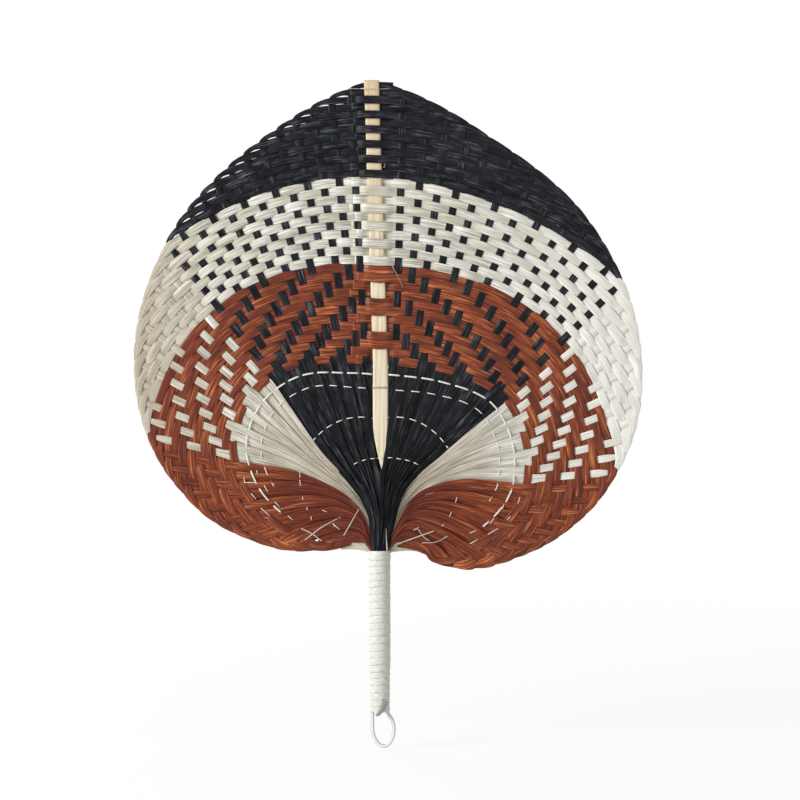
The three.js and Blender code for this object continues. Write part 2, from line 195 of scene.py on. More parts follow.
def band_rings(centres: Array, across: Array, through: Array, width: Array | float,
               thickness: float, crown: Array | float) -> Tube:
    """Return the rings of a thin band whose face bulges a little, and their places in mm.

    A ring has five points on the front face and five on the back: at the shares u of the half
    width they stand at t/2 + crown (1 - u^2) from the middle, the same way on both faces.

    Args:
        centres: the middle line (n, 3).
        across: unit direction of the width (n, 3).
        through: unit direction out of the front face (n, 3) or one for all (1, 3).
        width: full width (n,) or one number.
        thickness: full thickness.
        crown: how far the middle of the face stands out (n,) or one number.

    Returns:
        Rings (n, 10, 3) and places across and along the band (n, 10, 2).
    """
    u = np.array([-1.0, -0.86, 0.0, 0.86, 1.0])
    face = np.where(np.abs(u) < 1, 1.0, 0.55)
    section = np.vstack([np.stack([u, face], 1), np.stack([u[::-1], -face], 1)])
    width, bulge = (np.broadcast_to(np.asarray(size, float), (len(centres),))[:, None]
                    for size in (width, crown))
    out = section[None, :, 1] * thickness / 2 + bulge * (1 - section[None, :, 0] ** 2)
    side = section[None, :, 0] * width / 2
    rings = centres[:, None] + across[:, None] * side[..., None] + through[:, None] * out[..., None]
    along = np.broadcast_to(lengths_along(centres)[:, None], side.shape)
    return rings, np.stack([side, along], -1)


def facing(path: Array, turn: Array, lean: float) -> tuple[Array, Array]:
    """Return a band's unit directions across it and out of its front face, both (n, 3).

    It stands on edge at turn 0 and lies flat at 1: across = sideways sin(90 t) + lean Y cos(90 t).
    """
    way = tangents(path * [1, 0.0, 1])
    flat = np.stack([way[:, 2], np.zeros(len(way)), -way[:, 0]], 1)
    angle = (turn * math.pi / 2)[:, None]
    across = flat * np.sin(angle) + np.array([0, lean, 0]) * np.cos(angle)
    through = flat * np.cos(angle) * lean - np.array([0, 1.0, 0]) * np.sin(angle)
    return across, through


def front_band(path: Array, width: Array | float, thickness: float, crown: float) -> Tube:
    """Return the rings of a thin band along a path, with its face to the front."""
    across = unit(np.cross(tangents(path), [0.0, 1.0, 0.0]))
    return band_rings(path, across, np.array([[0, -1.0, 0]]), width, thickness, crown)


def round_rings(path: Array, radius: Array | float, sides: int,
                guide: tuple[float, float, float] = (0.0, 1.0, 0.0)) -> Tube:
    """Return circles carried along a path, each square to it, and their places in mm."""
    way = tangents(path)
    first = unit(np.cross(way, np.asarray(guide, float)))
    second = np.cross(first, way)
    turn = np.arange(sides) / sides * 2 * math.pi
    size = np.broadcast_to(np.asarray(radius, float), (len(path),))[:, None, None]
    spoke = (first[:, None] * np.cos(turn)[None, :, None]
             + second[:, None] * np.sin(turn)[None, :, None])
    rings = path[:, None] + spoke * size
    across = np.broadcast_to(turn[None] * size[..., 0], rings.shape[:2])
    along = np.broadcast_to(lengths_along(path)[:, None], rings.shape[:2])
    return rings, np.stack([across, along], -1)


# Finishes


def linear(colour: str) -> tuple[float, float, float, float]:
    """Return an sRGB hex colour as linear light.

    A part c of it becomes c/12.92 below 0.04045, else ((c+0.055)/1.055)^2.4.
    """
    parts = [int(colour[i:i + 2], 16) / 255 for i in (1, 3, 5)]
    light = [c / 12.92 if c <= 0.04045 else ((c + 0.055) / 1.055) ** 2.4 for c in parts]
    return (light[0], light[1], light[2], 1.0)


def add_node(tree: bpy.types.NodeTree, kind: str, inputs: dict[str | int, object],
             stops: Sequence[tuple[float, str]] = (), **settings: object) -> bpy.types.Node:
    """Add a shader node.

    Args:
        tree: the material's or world's nodes.
        kind: the node's type name without "ShaderNode".
        inputs: by input name or number, a socket to link from or a value.
        stops: places and hex colours of a colour ramp.
        settings: the node's own properties.

    Returns:
        The new node.
    """
    node = tree.nodes.new(f"ShaderNode{kind}")
    for key, value in settings.items():
        setattr(node, key, value)
    for key, value in inputs.items():
        if isinstance(value, Socket):
            tree.links.new(value, node.inputs[key])
        else:
            node.inputs[key].default_value = value
    if stops:
        ramp = node.color_ramp.elements
        while len(ramp) > 1:
            ramp.remove(ramp[-1])
        ramp[0].position, ramp[0].color = stops[0][0], linear(stops[0][1])
        for place, colour in stops[1:]:
            ramp.new(place).color = linear(colour)
    return node


class Shading:
    """The nodes of a material or of the world, added one at a time; each gives its output."""

    def __init__(self, owner: bpy.types.Material | bpy.types.World) -> None:
        """Start with no nodes."""
        owner.use_nodes = True
        self.owner = owner
        self.tree = owner.node_tree
        self.tree.nodes.clear()

    def add(self, kind: str, inputs: dict[str | int, object], output: int | str = 0,
            **settings: object) -> Socket:
        """Add a node of any kind and return one of its outputs."""
        return add_node(self.tree, kind, inputs, **settings).outputs[output]

    def run(self) -> Socket:
        """Return the attribute "run": places across and along the surface in mm, and a seed."""
        return self.add("Attribute", {}, "Vector", attribute_name="run")

    def axis(self, place: Socket, name: str) -> Socket:
        """Return the part of a vector along one axis."""
        return self.add("SeparateXYZ", {0: place}, name)

    def math(self, operation: str, *values: Socket | float) -> Socket:
        """Return a sum of one to three values."""
        return self.add("Math", dict(enumerate(values)), operation=operation)

    def noise(self, place: Socket, scale: tuple[float, float, float], detail: float = 2.0,
              roughness: float = 0.5) -> Socket:
        """Return a cloudy noise, stretched by a scale along each axis."""
        stretched = self.add("Mapping", {"Vector": place, "Scale": scale})
        return self.add("TexNoise", {"Vector": stretched, "Scale": 1.0, "Detail": detail,
                                     "Roughness": roughness})

    def remap(self, value: Socket, low: float, high: float, first: float, last: float) -> Socket:
        """Return first where the value is low or less, last where it is high or more."""
        return self.add("MapRange", {"Value": value, 1: low, 2: high, 3: first, 4: last})

    def ramp(self, value: Socket, *stops: tuple[float, str]) -> Socket:
        """Return the colours between the stops."""
        return add_node(self.tree, "ValToRGB", {0: value}, stops).outputs[0]

    def blend(self, share: Socket, colour: Socket, other: str) -> Socket:
        """Return a colour with a share of another one."""
        return self.add("Mix", {0: share, 6: colour, 7: linear(other)}, 2, data_type="RGBA")

    def surface(self, colour: Socket, roughness: Socket | float, height: Socket, strength: float,
                depth: float, **further: float) -> bpy.types.Material:
        """Join a Principled shader with a bump to the output.

        Args:
            colour: its base colour.
            roughness: its roughness.
            height: the bump's height.
            strength: the bump's strength.
            depth: the bump's depth in mm.
            further: other inputs of the shader, with _ for each space in the name.

        Returns:
            The finished material.
        """
        bump = self.add("Bump", {"Height": height, "Strength": strength, "Distance": depth * METRE})
        named = {name.replace("_", " "): value for name, value in further.items()}
        shader = self.add("BsdfPrincipled", {"Base Color": colour, "Roughness": roughness,
                                             "Normal": bump, **named})
        add_node(self.tree, "OutputMaterial", {"Surface": shader})
        return self.owner


@dataclass(frozen=True)
class StripFinish:
    """Bamboo split to a thin strip, dyed in a pot or left bare, and rubbed smooth.

    The fibres show as streaks along the strip, and each strip takes the dye a little differently.
    The brightest streaks carry a painted satin highlight, and on the black strips the lighter
    patches are painted highlights too. Near the pole, towards the handle, the strips are darkened by
    painted shade, and the bare ones are painted darker and browner along one edge of the fan as
    shade and paler along the other as painted light.
    """

    name: str
    dark: str
    middle: str
    light: str
    # colour of the brightest streaks: a painted satin highlight
    painted_glint: str
    tint: str
    tint_amount: float
    # colour of the painted shade near the pole and along one edge of the fan
    painted_shade: str
    neck_shade_amount: float
    neck_shade_reach: float              # mm from the pole
    # painted shade along the left edge of the fan, and painted light along the right edge
    edge_shade_amount: float = 0.0
    edge_light_amount: float = 0.0      # how much paler the strips are along the other edge
    roughness: float = 0.42
    gloss: float = 0.35            # specular level; bare or dyed bamboo is duller than plastic
    streak_width: float = 0.45     # mm, a few fibres side by side, so that they show in the picture
    streak_length: float = 16.0    # mm
    patch_length: float = 30.0     # mm, where the dye took unevenly
    groove_width: float = 0.22     # mm
    groove_length: float = 9.0     # mm
    groove_depth: float = 0.05     # mm

    POLE = (-1.2, 94.7)            # mm, the point that the ribs spread from
    # Painted shade along one edge of the fan, and painted light along the other:
    SHADED_EDGE = (-0.15, -0.085)      # metres from the middle: all along one edge, and not at all
    LIT_EDGE = (0.05, 0.13)           # metres from the middle: not at all, and all along the other

    def make(self) -> bpy.types.Material:
        """Return the material, whose streaks follow the attribute "run" of the strips."""
        nodes = Shading(bpy.data.materials.new(self.name))
        place = nodes.run()
        streaks = nodes.noise(place, (1 / self.streak_width, 1 / self.streak_length, 7.31), 3.0,
                              0.55)
        patches = nodes.noise(place, (0.25, 1 / self.patch_length, 3.17))
        # Patches where the dye took unevenly; on the black strips, whose patches are short, their
        # lighter parts are painted highlights.
        mixed = nodes.math("ADD", streaks, nodes.math("MULTIPLY_ADD", patches, 0.45, -0.225))
        # The last stop of the ramp is a painted satin highlight.
        colours = nodes.ramp(mixed, (0.32, self.dark), (0.46, self.middle), (0.59, self.light),
                             (0.70, self.painted_glint))
        chance = nodes.add("TexWhiteNoise", {"W": nodes.axis(place, "Z")}, noise_dimensions="1D")
        dyed = nodes.blend(nodes.math("MULTIPLY", chance, self.tint_amount), colours, self.tint)
        where = nodes.add("TexCoord", {}, "Object")
        pole = (self.POLE[0] * METRE, 0.0, self.POLE[1] * METRE)
        away = nodes.add("VectorMath", {0: where, 1: pole}, "Value", operation="DISTANCE")
        # Painted shade: darker near the pole, where the strips gather towards the handle.
        held = nodes.remap(away, 0.3 * self.neck_shade_reach * METRE, self.neck_shade_reach * METRE,
                           self.neck_shade_amount, 0.0)
        sideways = nodes.axis(where, "X")
        # Painted shade: darker and browner towards the left edge of the fan.
        left_edge_shade = nodes.remap(sideways, *self.SHADED_EDGE, self.edge_shade_amount, 0.0)
        with_painted_shade = nodes.blend(nodes.math("MAXIMUM", held, left_edge_shade), dyed, self.painted_shade)
        # Painted light: paler towards the right edge of the fan.
        with_painted_light = nodes.blend(nodes.remap(sideways, *self.LIT_EDGE, 0.0, self.edge_light_amount), with_painted_shade,
                           self.painted_glint)
        grooves = nodes.noise(place, (1 / self.groove_width, 1 / self.groove_length, 5.3))
        rough = nodes.remap(streaks, 0.3, 0.7, self.roughness - 0.08, self.roughness + 0.1)
        return nodes.surface(with_painted_light, rough, grooves, 0.55, self.groove_depth, IOR=1.48,
                             Specular_IOR_Level=self.gloss)


# The black strips' short patches make painted highlights as well as uneven dye.
BLACK_STRIP = StripFinish("black dyed split bamboo", dark="#030304", middle="#060709",
                          light="#25272C", painted_glint="#5C5F66", tint="#1D2026", tint_amount=0.55,
                          painted_shade="#040405", neck_shade_amount=0.5, neck_shade_reach=70.0, gloss=0.12,
                          patch_length=9.0)
NATURAL_STRIP = StripFinish("bare split bamboo", dark="#8A8678", middle="#B7B3A7",
                            light="#D8D6CD", painted_glint="#F6F4EE", tint="#B3AC98", tint_amount=0.45,
                            painted_shade="#8F7D5F", neck_shade_amount=0.45, neck_shade_reach=96.0, edge_shade_amount=0.6,
                            edge_light_amount=0.5)
RUST_STRIP = StripFinish("rust dyed split bamboo", dark="#330F05", middle="#6A2810",
                         light="#92441F", painted_glint="#D0854F", tint="#531D0D", tint_amount=0.5,
                         painted_shade="#52170E", neck_shade_amount=0.75, neck_shade_reach=64.0, gloss=0.3)


@dataclass(frozen=True)
class CaneFinish:
    """Split cane, shaved smooth: cream with fine upright grain, tanned towards its tip."""

    name: str = "shaved cane"
    joint_height: float = 143.0
    grain_width: float = 0.4       # mm
    grain_length: float = 45.0     # mm

    def make(self) -> bpy.types.Material:
        """Return the material, whose grain runs up the object's Z."""
        nodes = Shading(bpy.data.materials.new(self.name))
        place = nodes.add("TexCoord", {}, "Object")
        height = nodes.axis(place, "Z")
        across = 1 / (self.grain_width * METRE)
        grain = nodes.noise(place, (across, across, 1 / (self.grain_length * METRE)), 3.0)
        streaks = nodes.ramp(grain, (0.28, "#A8956F"), (0.42, "#CFC1A0"), (0.56, "#DCD1B7"),
                             (0.75, "#EAE3D1"))
        tanned = nodes.blend(nodes.remap(height, 0.215, 0.33, 0.0, 0.55), streaks, "#C79F72")
        near = nodes.math("ABSOLUTE", nodes.math("SUBTRACT", height, self.joint_height * METRE))
        jointed = nodes.blend(nodes.remap(near, 0.0002, 0.0009, 0.75, 0.0), tanned, "#7B5F38")
        return nodes.surface(jointed, 0.42, grain, 0.4, 0.08, IOR=1.48)


@dataclass(frozen=True)
class RibbonFinish:
    """Off-white woven satin ribbon: fine warp threads along it give a soft band of sheen."""

    name: str = "off-white satin ribbon"
    dark: str = "#B6B7AF"
    middle: str = "#CDCEC6"
    light: str = "#DFE0D9"
    warp: float = 0.3              # mm between warp threads, coarser than real so that they show
    half_width: float = 2.6        # mm
    # painted shade: how far in from each edge the ribbon is darkened where the turns lap
    edge_shade_width: float = 0.35         # mm, darker along each edge

    def make(self) -> bpy.types.Material:
        """Return the material, which follows the attribute "run" of the ribbon."""
        nodes = Shading(bpy.data.materials.new(self.name))
        place = nodes.run()
        weave = nodes.noise(place, (1 / self.warp, 1 / 3.0, 1.0))
        colours = nodes.ramp(weave, (0.3, self.dark), (0.5, self.middle), (0.7, self.light))
        # Painted shade: darker towards each edge of the ribbon, where the turns lap.
        aside = nodes.math("ABSOLUTE", nodes.axis(place, "X"))
        edge = nodes.remap(aside, self.half_width - self.edge_shade_width, self.half_width, 0.0, 0.25)
        return nodes.surface(nodes.blend(edge, colours, self.dark), 0.38, weave, 0.35, 0.05,
                             Sheen_Weight=0.15)


@dataclass(frozen=True)
class TwistFinish:
    """Twisted yarn: plies that wind round it, with a soft nap, and painted shade between the plies.
    """

    name: str
    # darker colour between the plies: painted shade in their grooves
    shade: str
    light: str
    ply_pitch: float               # mm along the yarn between plies
    girth: float                   # mm round the yarn
    roughness: float = 0.7

    def make(self) -> bpy.types.Material:
        """Return the material: the height of the plies is sin 2 pi (across/girth + along/pitch)."""
        nodes = Shading(bpy.data.materials.new(self.name))
        place = nodes.run()
        around = nodes.math("MULTIPLY", nodes.axis(place, "X"), 2 * math.pi / self.girth)
        along = nodes.math("MULTIPLY_ADD", nodes.axis(place, "Y"), 2 * math.pi / self.ply_pitch,
                           around)
        plies = nodes.math("MULTIPLY_ADD", nodes.math("SINE", along), 0.5, 0.5)
        # The darker colour, low between the plies, is painted shade.
        colours = nodes.ramp(plies, (0.0, self.shade), (0.45, self.light), (1.0, self.light))
        return nodes.surface(colours, self.roughness, plies, 0.5, 0.08)


STITCH_THREAD = TwistFinish("bleached twisted thread", shade="#C3BEB0", light="#E4E2DA",
                            ply_pitch=0.9, girth=1.6)


@dataclass(frozen=True)
class CordFinish:
    """Soft white cord of two strands side by side, painted grey towards its sides as shade."""

    name: str = "soft two-strand cord"
    ply_pitch: float = 1.6         # mm along the cord between the twists of a strand
    radius: float = 1.0            # mm

    def make(self) -> bpy.types.Material:
        """Return the material: the share of painted shade is |cos(across / radius)| cubed."""
        nodes = Shading(bpy.data.materials.new(self.name))
        place = nodes.run()
        turn = nodes.math("MULTIPLY", nodes.axis(place, "X"), 1 / self.radius)
        # Painted shade: grey towards the cord's sides as seen from the front.
        groove = nodes.math("POWER", nodes.math("ABSOLUTE", nodes.math("COSINE", turn)), 3.0)
        along = nodes.math("MULTIPLY_ADD", nodes.axis(place, "Y"), 2 * math.pi / self.ply_pitch,
                           turn)
        colours = nodes.ramp(groove, (0.0, "#E6E8E9"), (0.35, "#C6CACC"), (0.9, "#7F8588"))
        return nodes.surface(colours, 0.45, nodes.math("SINE", along), 0.25, 0.05)


# The lie of the weave


@dataclass(frozen=True)
class WeavePlan:
    """Where every strip runs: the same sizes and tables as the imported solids, in mm and degrees."""

    reach: float = 229.3
    pole_height: float = 94.7
    pole_sideways: float = -1.2
    black_strips: int = 13
    natural_strips: int = 10
    rust_strips: int = 12
    window_margin: float = 2.4
    black_row_share: float = 0.0190
    edge_step: float = 20.0
    smoothing: float = 4.5         # degrees over which the tables' corners are rounded
    fine_steps: int = 160          # along a rib, to find where rows cross it

    WINDOW = {Side.RIGHT: (0.267, 0.277, 0.310, 0.369, 0.379, 0.374, 0.328, 0.274, 0.226, 0.195),
              Side.LEFT: (0.267, 0.287, 0.341, 0.372, 0.372, 0.332, 0.280, 0.240, 0.210, 0.195)}
    RUST_BAND = {Side.RIGHT: (0.256, 0.256, 0.256, 0.221, 0.221, 0.222, 0.230, 0.235, 0.235, 0.235),
                 Side.LEFT: (0.256, 0.264, 0.244, 0.228, 0.221, 0.230, 0.240, 0.240, 0.240, 0.240)}
    NATURAL_BAND = {Side.RIGHT: (0.226, 0.208, 0.197, *(0.200,) * 7),
                    Side.LEFT: (0.226, 0.213, 0.200, *(0.200,) * 7)}
    ANCHORS = (1, 5, 9, 13, 18, 23, 27, 31, 35)
    FOLDS = {Side.RIGHT: (3.9, 18.5, 36.9, 52.4, 71.5, 90.5, 105.5, 123, 149),
             Side.LEFT: (4.2, 16.5, 29.5, 42.9, 62, 81.5, 97, 119, 148)}
    ROOTS = {Side.RIGHT: (9.6, 28.5, 45, 61, 78, 94, 110, 127, 149),
             Side.LEFT: (6.5, 22.5, 35.5, 48.5, 66.5, 85, 102, 123, 148)}
    # How far the rows near the rim spread outwards, in mm
    OUTSET = {Side.RIGHT: (0.0, 0.9, 2.8, 2.8, 4.2, 2.2, 3.0, 5.5, 2.8, 1.8),
              Side.LEFT: (0.0, -1.3, 1.7, 1.0, 1.5, 2.4, 0.9, 0.6, 1.2, 1.0)}
    # Where the ribs turn up between the handle and the window: half the curve's way, (x, z) in mm
    KNEES = ((0.6, 93.0), (7.4, 93.0), (14.6, 92.5), (21.6, 91.6), (24.0, 86.2), (22.0, 80.2),
             (18.5, 74.0), (14.5, 64.0), (10.0, 53.5))
    THROATS = ((0.2, 90.0), (2.3, 89.0), (4.4, 87.5), (6.3, 85.2), (8.1, 78.0), (9.7, 71.0),
               (10.4, 65.5), (10.1, 58.5), (8.4, 52.0))

    @property
    def strips(self) -> int:
        """Return the number of strips on one side."""
        return self.black_strips + self.natural_strips + self.rust_strips

    @property
    def rust_start(self) -> int:
        """Return the number of the first rust strip."""
        return self.black_strips + self.natural_strips + 1

    def colour(self, strip: int) -> Colour:
        """Return the dye of a strip."""
        if strip <= self.black_strips:
            return Colour.BLACK
        return Colour.NATURAL if strip < self.rust_start else Colour.RUST

    def table(self, shares: dict[Side, tuple[float, ...]], side: Side, angle: Array) -> Array:
        """Read a table at angles in degrees, its corners rounded by a bell-shaped average."""
        dense = np.arange(-40.0, 221.0)
        entries = np.arange(len(shares[side])) * self.edge_step
        first, last = shares[side][0], shares[side][-1]
        values = np.interp(dense, entries, shares[side])
        values = np.where(dense < 0, 2 * first - np.interp(-dense, entries, shares[side]), values)
        values = np.where(dense > entries[-1], last, values)
        reach = np.arange(-15, 16)
        bell = np.exp(-0.5 * (reach / self.smoothing) ** 2)
        return np.interp(angle, dense, np.convolve(values, bell / bell.sum(), mode="same"))

    def window(self, side: Side, angle: Array) -> Array:
        """Return the distance from the pole to the first row."""
        return self.reach * self.table(self.WINDOW, side, angle)

    def anchored(self, values: Sequence[float], strip: int) -> float:
        """Read a strip's value between those of the anchor strips."""
        return float(np.interp(strip, self.ANCHORS, values))

    def steps_in(self, strip: int, side: Side, angle: Array) -> Array:
        """Return how many other strips fold between an angle and a strip's own fold, 0 at it."""
        first, folds = max(strip, 2), self.FOLDS[side]
        step = self.anchored(folds, first) - self.anchored(folds, first - 1)
        return (self.anchored(folds, strip) - angle) / step

    def spread(self, strip: int, side: Side, angle: Array) -> Array:
        """Return how far a row lies outwards near its fold: the outset, gone four strips in."""
        near = np.clip(1.0 - (self.steps_in(strip, side, angle) - 1.0) / 3.0, 0.0, 1.0)
        return near * self.table(self.OUTSET, side, angle)

    def band_pitch(self, strip: int, side: Side, angle: Array) -> Array:
        """Return the even step between the rows of one dye, measured away from the pole."""
        if strip >= self.rust_start:
            return self.reach * self.table(self.RUST_BAND, side, angle) / self.rust_strips
        if strip > self.black_strips:
            return self.reach * self.table(self.NATURAL_BAND, side, angle) / self.natural_strips
        return np.full(np.shape(angle), self.reach * self.black_row_share)

    def row_pitch(self, strip: int, side: Side, angle: Array) -> Array:
        """Return the distance from a row to the next one in: the even step and the spread's."""
        after = min(strip + 1, self.strips)
        widened = self.spread(strip, side, angle) - self.spread(after, side, angle)
        return self.band_pitch(strip, side, angle) + np.maximum(widened, 0.0)

    def row_radius(self, strip: int, side: Side, angle: Array) -> Array:
        """Return the distance from the pole to the middle of a row: inner bands + pitch * rows."""
        rust = self.reach * self.table(self.RUST_BAND, side, angle)
        natural = self.reach * self.table(self.NATURAL_BAND, side, angle)
        pitch = self.band_pitch(strip, side, angle)
        start = self.window(side, angle) + self.spread(strip, side, angle)
        if strip >= self.rust_start:
            return start + pitch * (self.strips + 0.5 - strip)
        if strip > self.black_strips:
            return start + rust + pitch * (self.rust_start - 0.5 - strip)
        return start + rust + natural + pitch * (self.black_strips + 0.5 - strip)

    def curl(self, strip: int, side: Side, angle: Array) -> tuple[Array, Array]:
        """Return how far a row lies in towards the pole near its fold, and its share of the width.

        In the last step before its fold a strip curls over to lie along the rim: its outer edge
        falls by f = 0.9 n^1.2 pitches over that step n, almost to the next strip's, and it narrows.
        On the left the black strips fall by 0.72 n^1.7, which leaves a scallop, and curl up from
        the next one by a slit of 0.18 pitches with even sides. With the width's share w the middle
        lies f - (1 - w) / 2 pitches further in.
        """
        near = np.clip(1.0 - self.steps_in(strip, side, angle), 0.0, 1.0)
        if side is Side.LEFT and strip <= self.black_strips:
            fall = 0.72 * near**1.7
            slit = 0.18 * smoothstep(near, 0.04, 0.16) * (1.0 - smoothstep(near, 0.5, 0.64))
            share = np.maximum(1.0 - fall - slit, 0.45)
        else:
            fall = 0.9 * near**1.2
            share = 1.0 - 0.42 * smoothstep(near, 0.0, 1.0)
        return (fall - (1.0 - share) / 2) * self.band_pitch(strip, side, angle), share

    def polar(self, radius: Array, angle: Array, side: Side) -> Array:
        """Return (x, z) at a distance and an angle from the pole: r sin a, r cos a."""
        turn = np.radians(angle) * side.value
        x = self.pole_sideways + radius * np.sin(turn)
        return np.stack([x, self.pole_height + radius * np.cos(turn)], -1)

    def polar_angle(self, points: Array) -> Array:
        """Return the angle in degrees from the top, to either side, of points (n, 2)."""
        offset = self.from_pole(points)
        return np.abs(np.degrees(np.arctan2(offset[:, 0], offset[:, 1])))

    def from_pole(self, points: Array) -> Array:
        """Return the way from the pole to points (n, 2)."""
        return points - [self.pole_sideways, self.pole_height]

    def in_front(self, row: int, rib: int) -> bool:
        """Return whether a rib, or the spine as number 0, passes in front of a row."""
        if row == 1 and rib == 0:
            return True
        if row < self.rust_start:
            return (row + rib) % 2 == 0
        return (row - rib) % 4 in (2, 3)

    def rib_line(self, strip: int, side: Side) -> tuple[Array, Array]:
        """Return the root of a rib at the window and its fold at the rim, both (x, z)."""
        fold_angle = self.anchored(self.FOLDS[side], strip)
        root_angle = self.anchored(self.ROOTS[side], strip)
        inwards, _ = self.curl(strip, side, fold_angle)
        fold = self.polar(self.row_radius(strip, side, fold_angle) - inwards, fold_angle, side)
        root_radius = self.window(side, root_angle) - self.window_margin
        return self.polar(root_radius, root_angle, side), fold

    def crossings(self, rib: int, side: Side) -> tuple[Array, Array]:
        """Return the rows that cross a rib, as distances from its root, and as polar angles.

        A rib is a straight line; it meets row j where its distance from the pole, less the row's,
        passes through nought. Rows are in the order rib + 1 to the last.
        """
        root, fold = self.rib_line(rib, side)
        shares = np.linspace(0, 1, self.fine_steps)[:, None]
        points = root + (fold - root) * shares
        radius = np.linalg.norm(self.from_pole(points), axis=1)
        angle = self.polar_angle(points)
        rows = range(rib + 1, self.strips + 1)
        places = [np.interp(0.0, radius - self.row_radius(row, side, angle), shares[:, 0])
                  for row in rows]
        length = float(np.linalg.norm(fold - root))
        return np.array(places) * length, np.interp(places, shares[:, 0], angle)


@dataclass(frozen=True)
class SpineSizes:
    """The split cane in the middle, in mm."""

    width: float = 8.8
    thickness: float = 2.0
    tip_rise: float = 3.0
    window_offset: float = 0.3
    top_offset: float = -5.0
    joint_height: float = 143.0
    joint_swell: float = 0.45
    joint_length: float = 1.3
    foot: float = 94.0
    taper: float = 24.0
    tang_width: float = 1.0
    foot_offset: float = 1.5
    butt: float = -47.0

    def centre(self, plan: WeavePlan, z: Array) -> Array:
        """Return the spine's x: upright below the weave, then leaning in a straight line.

        Its right edge stays upright where it tapers, so its middle shifts to the right there.
        """
        start = plan.pole_height + plan.window(Side.RIGHT, 0.0)
        height = plan.reach * (1 - plan.WINDOW[Side.RIGHT][0])
        slope = (self.top_offset - self.window_offset) / height
        shift = (1.0 - smoothstep(z, 98.0, self.foot + self.taper)) * smoothstep(z, 60.0, 92.0)
        return self.window_offset + np.maximum(z - start, 0.0) * slope + shift * self.foot_offset


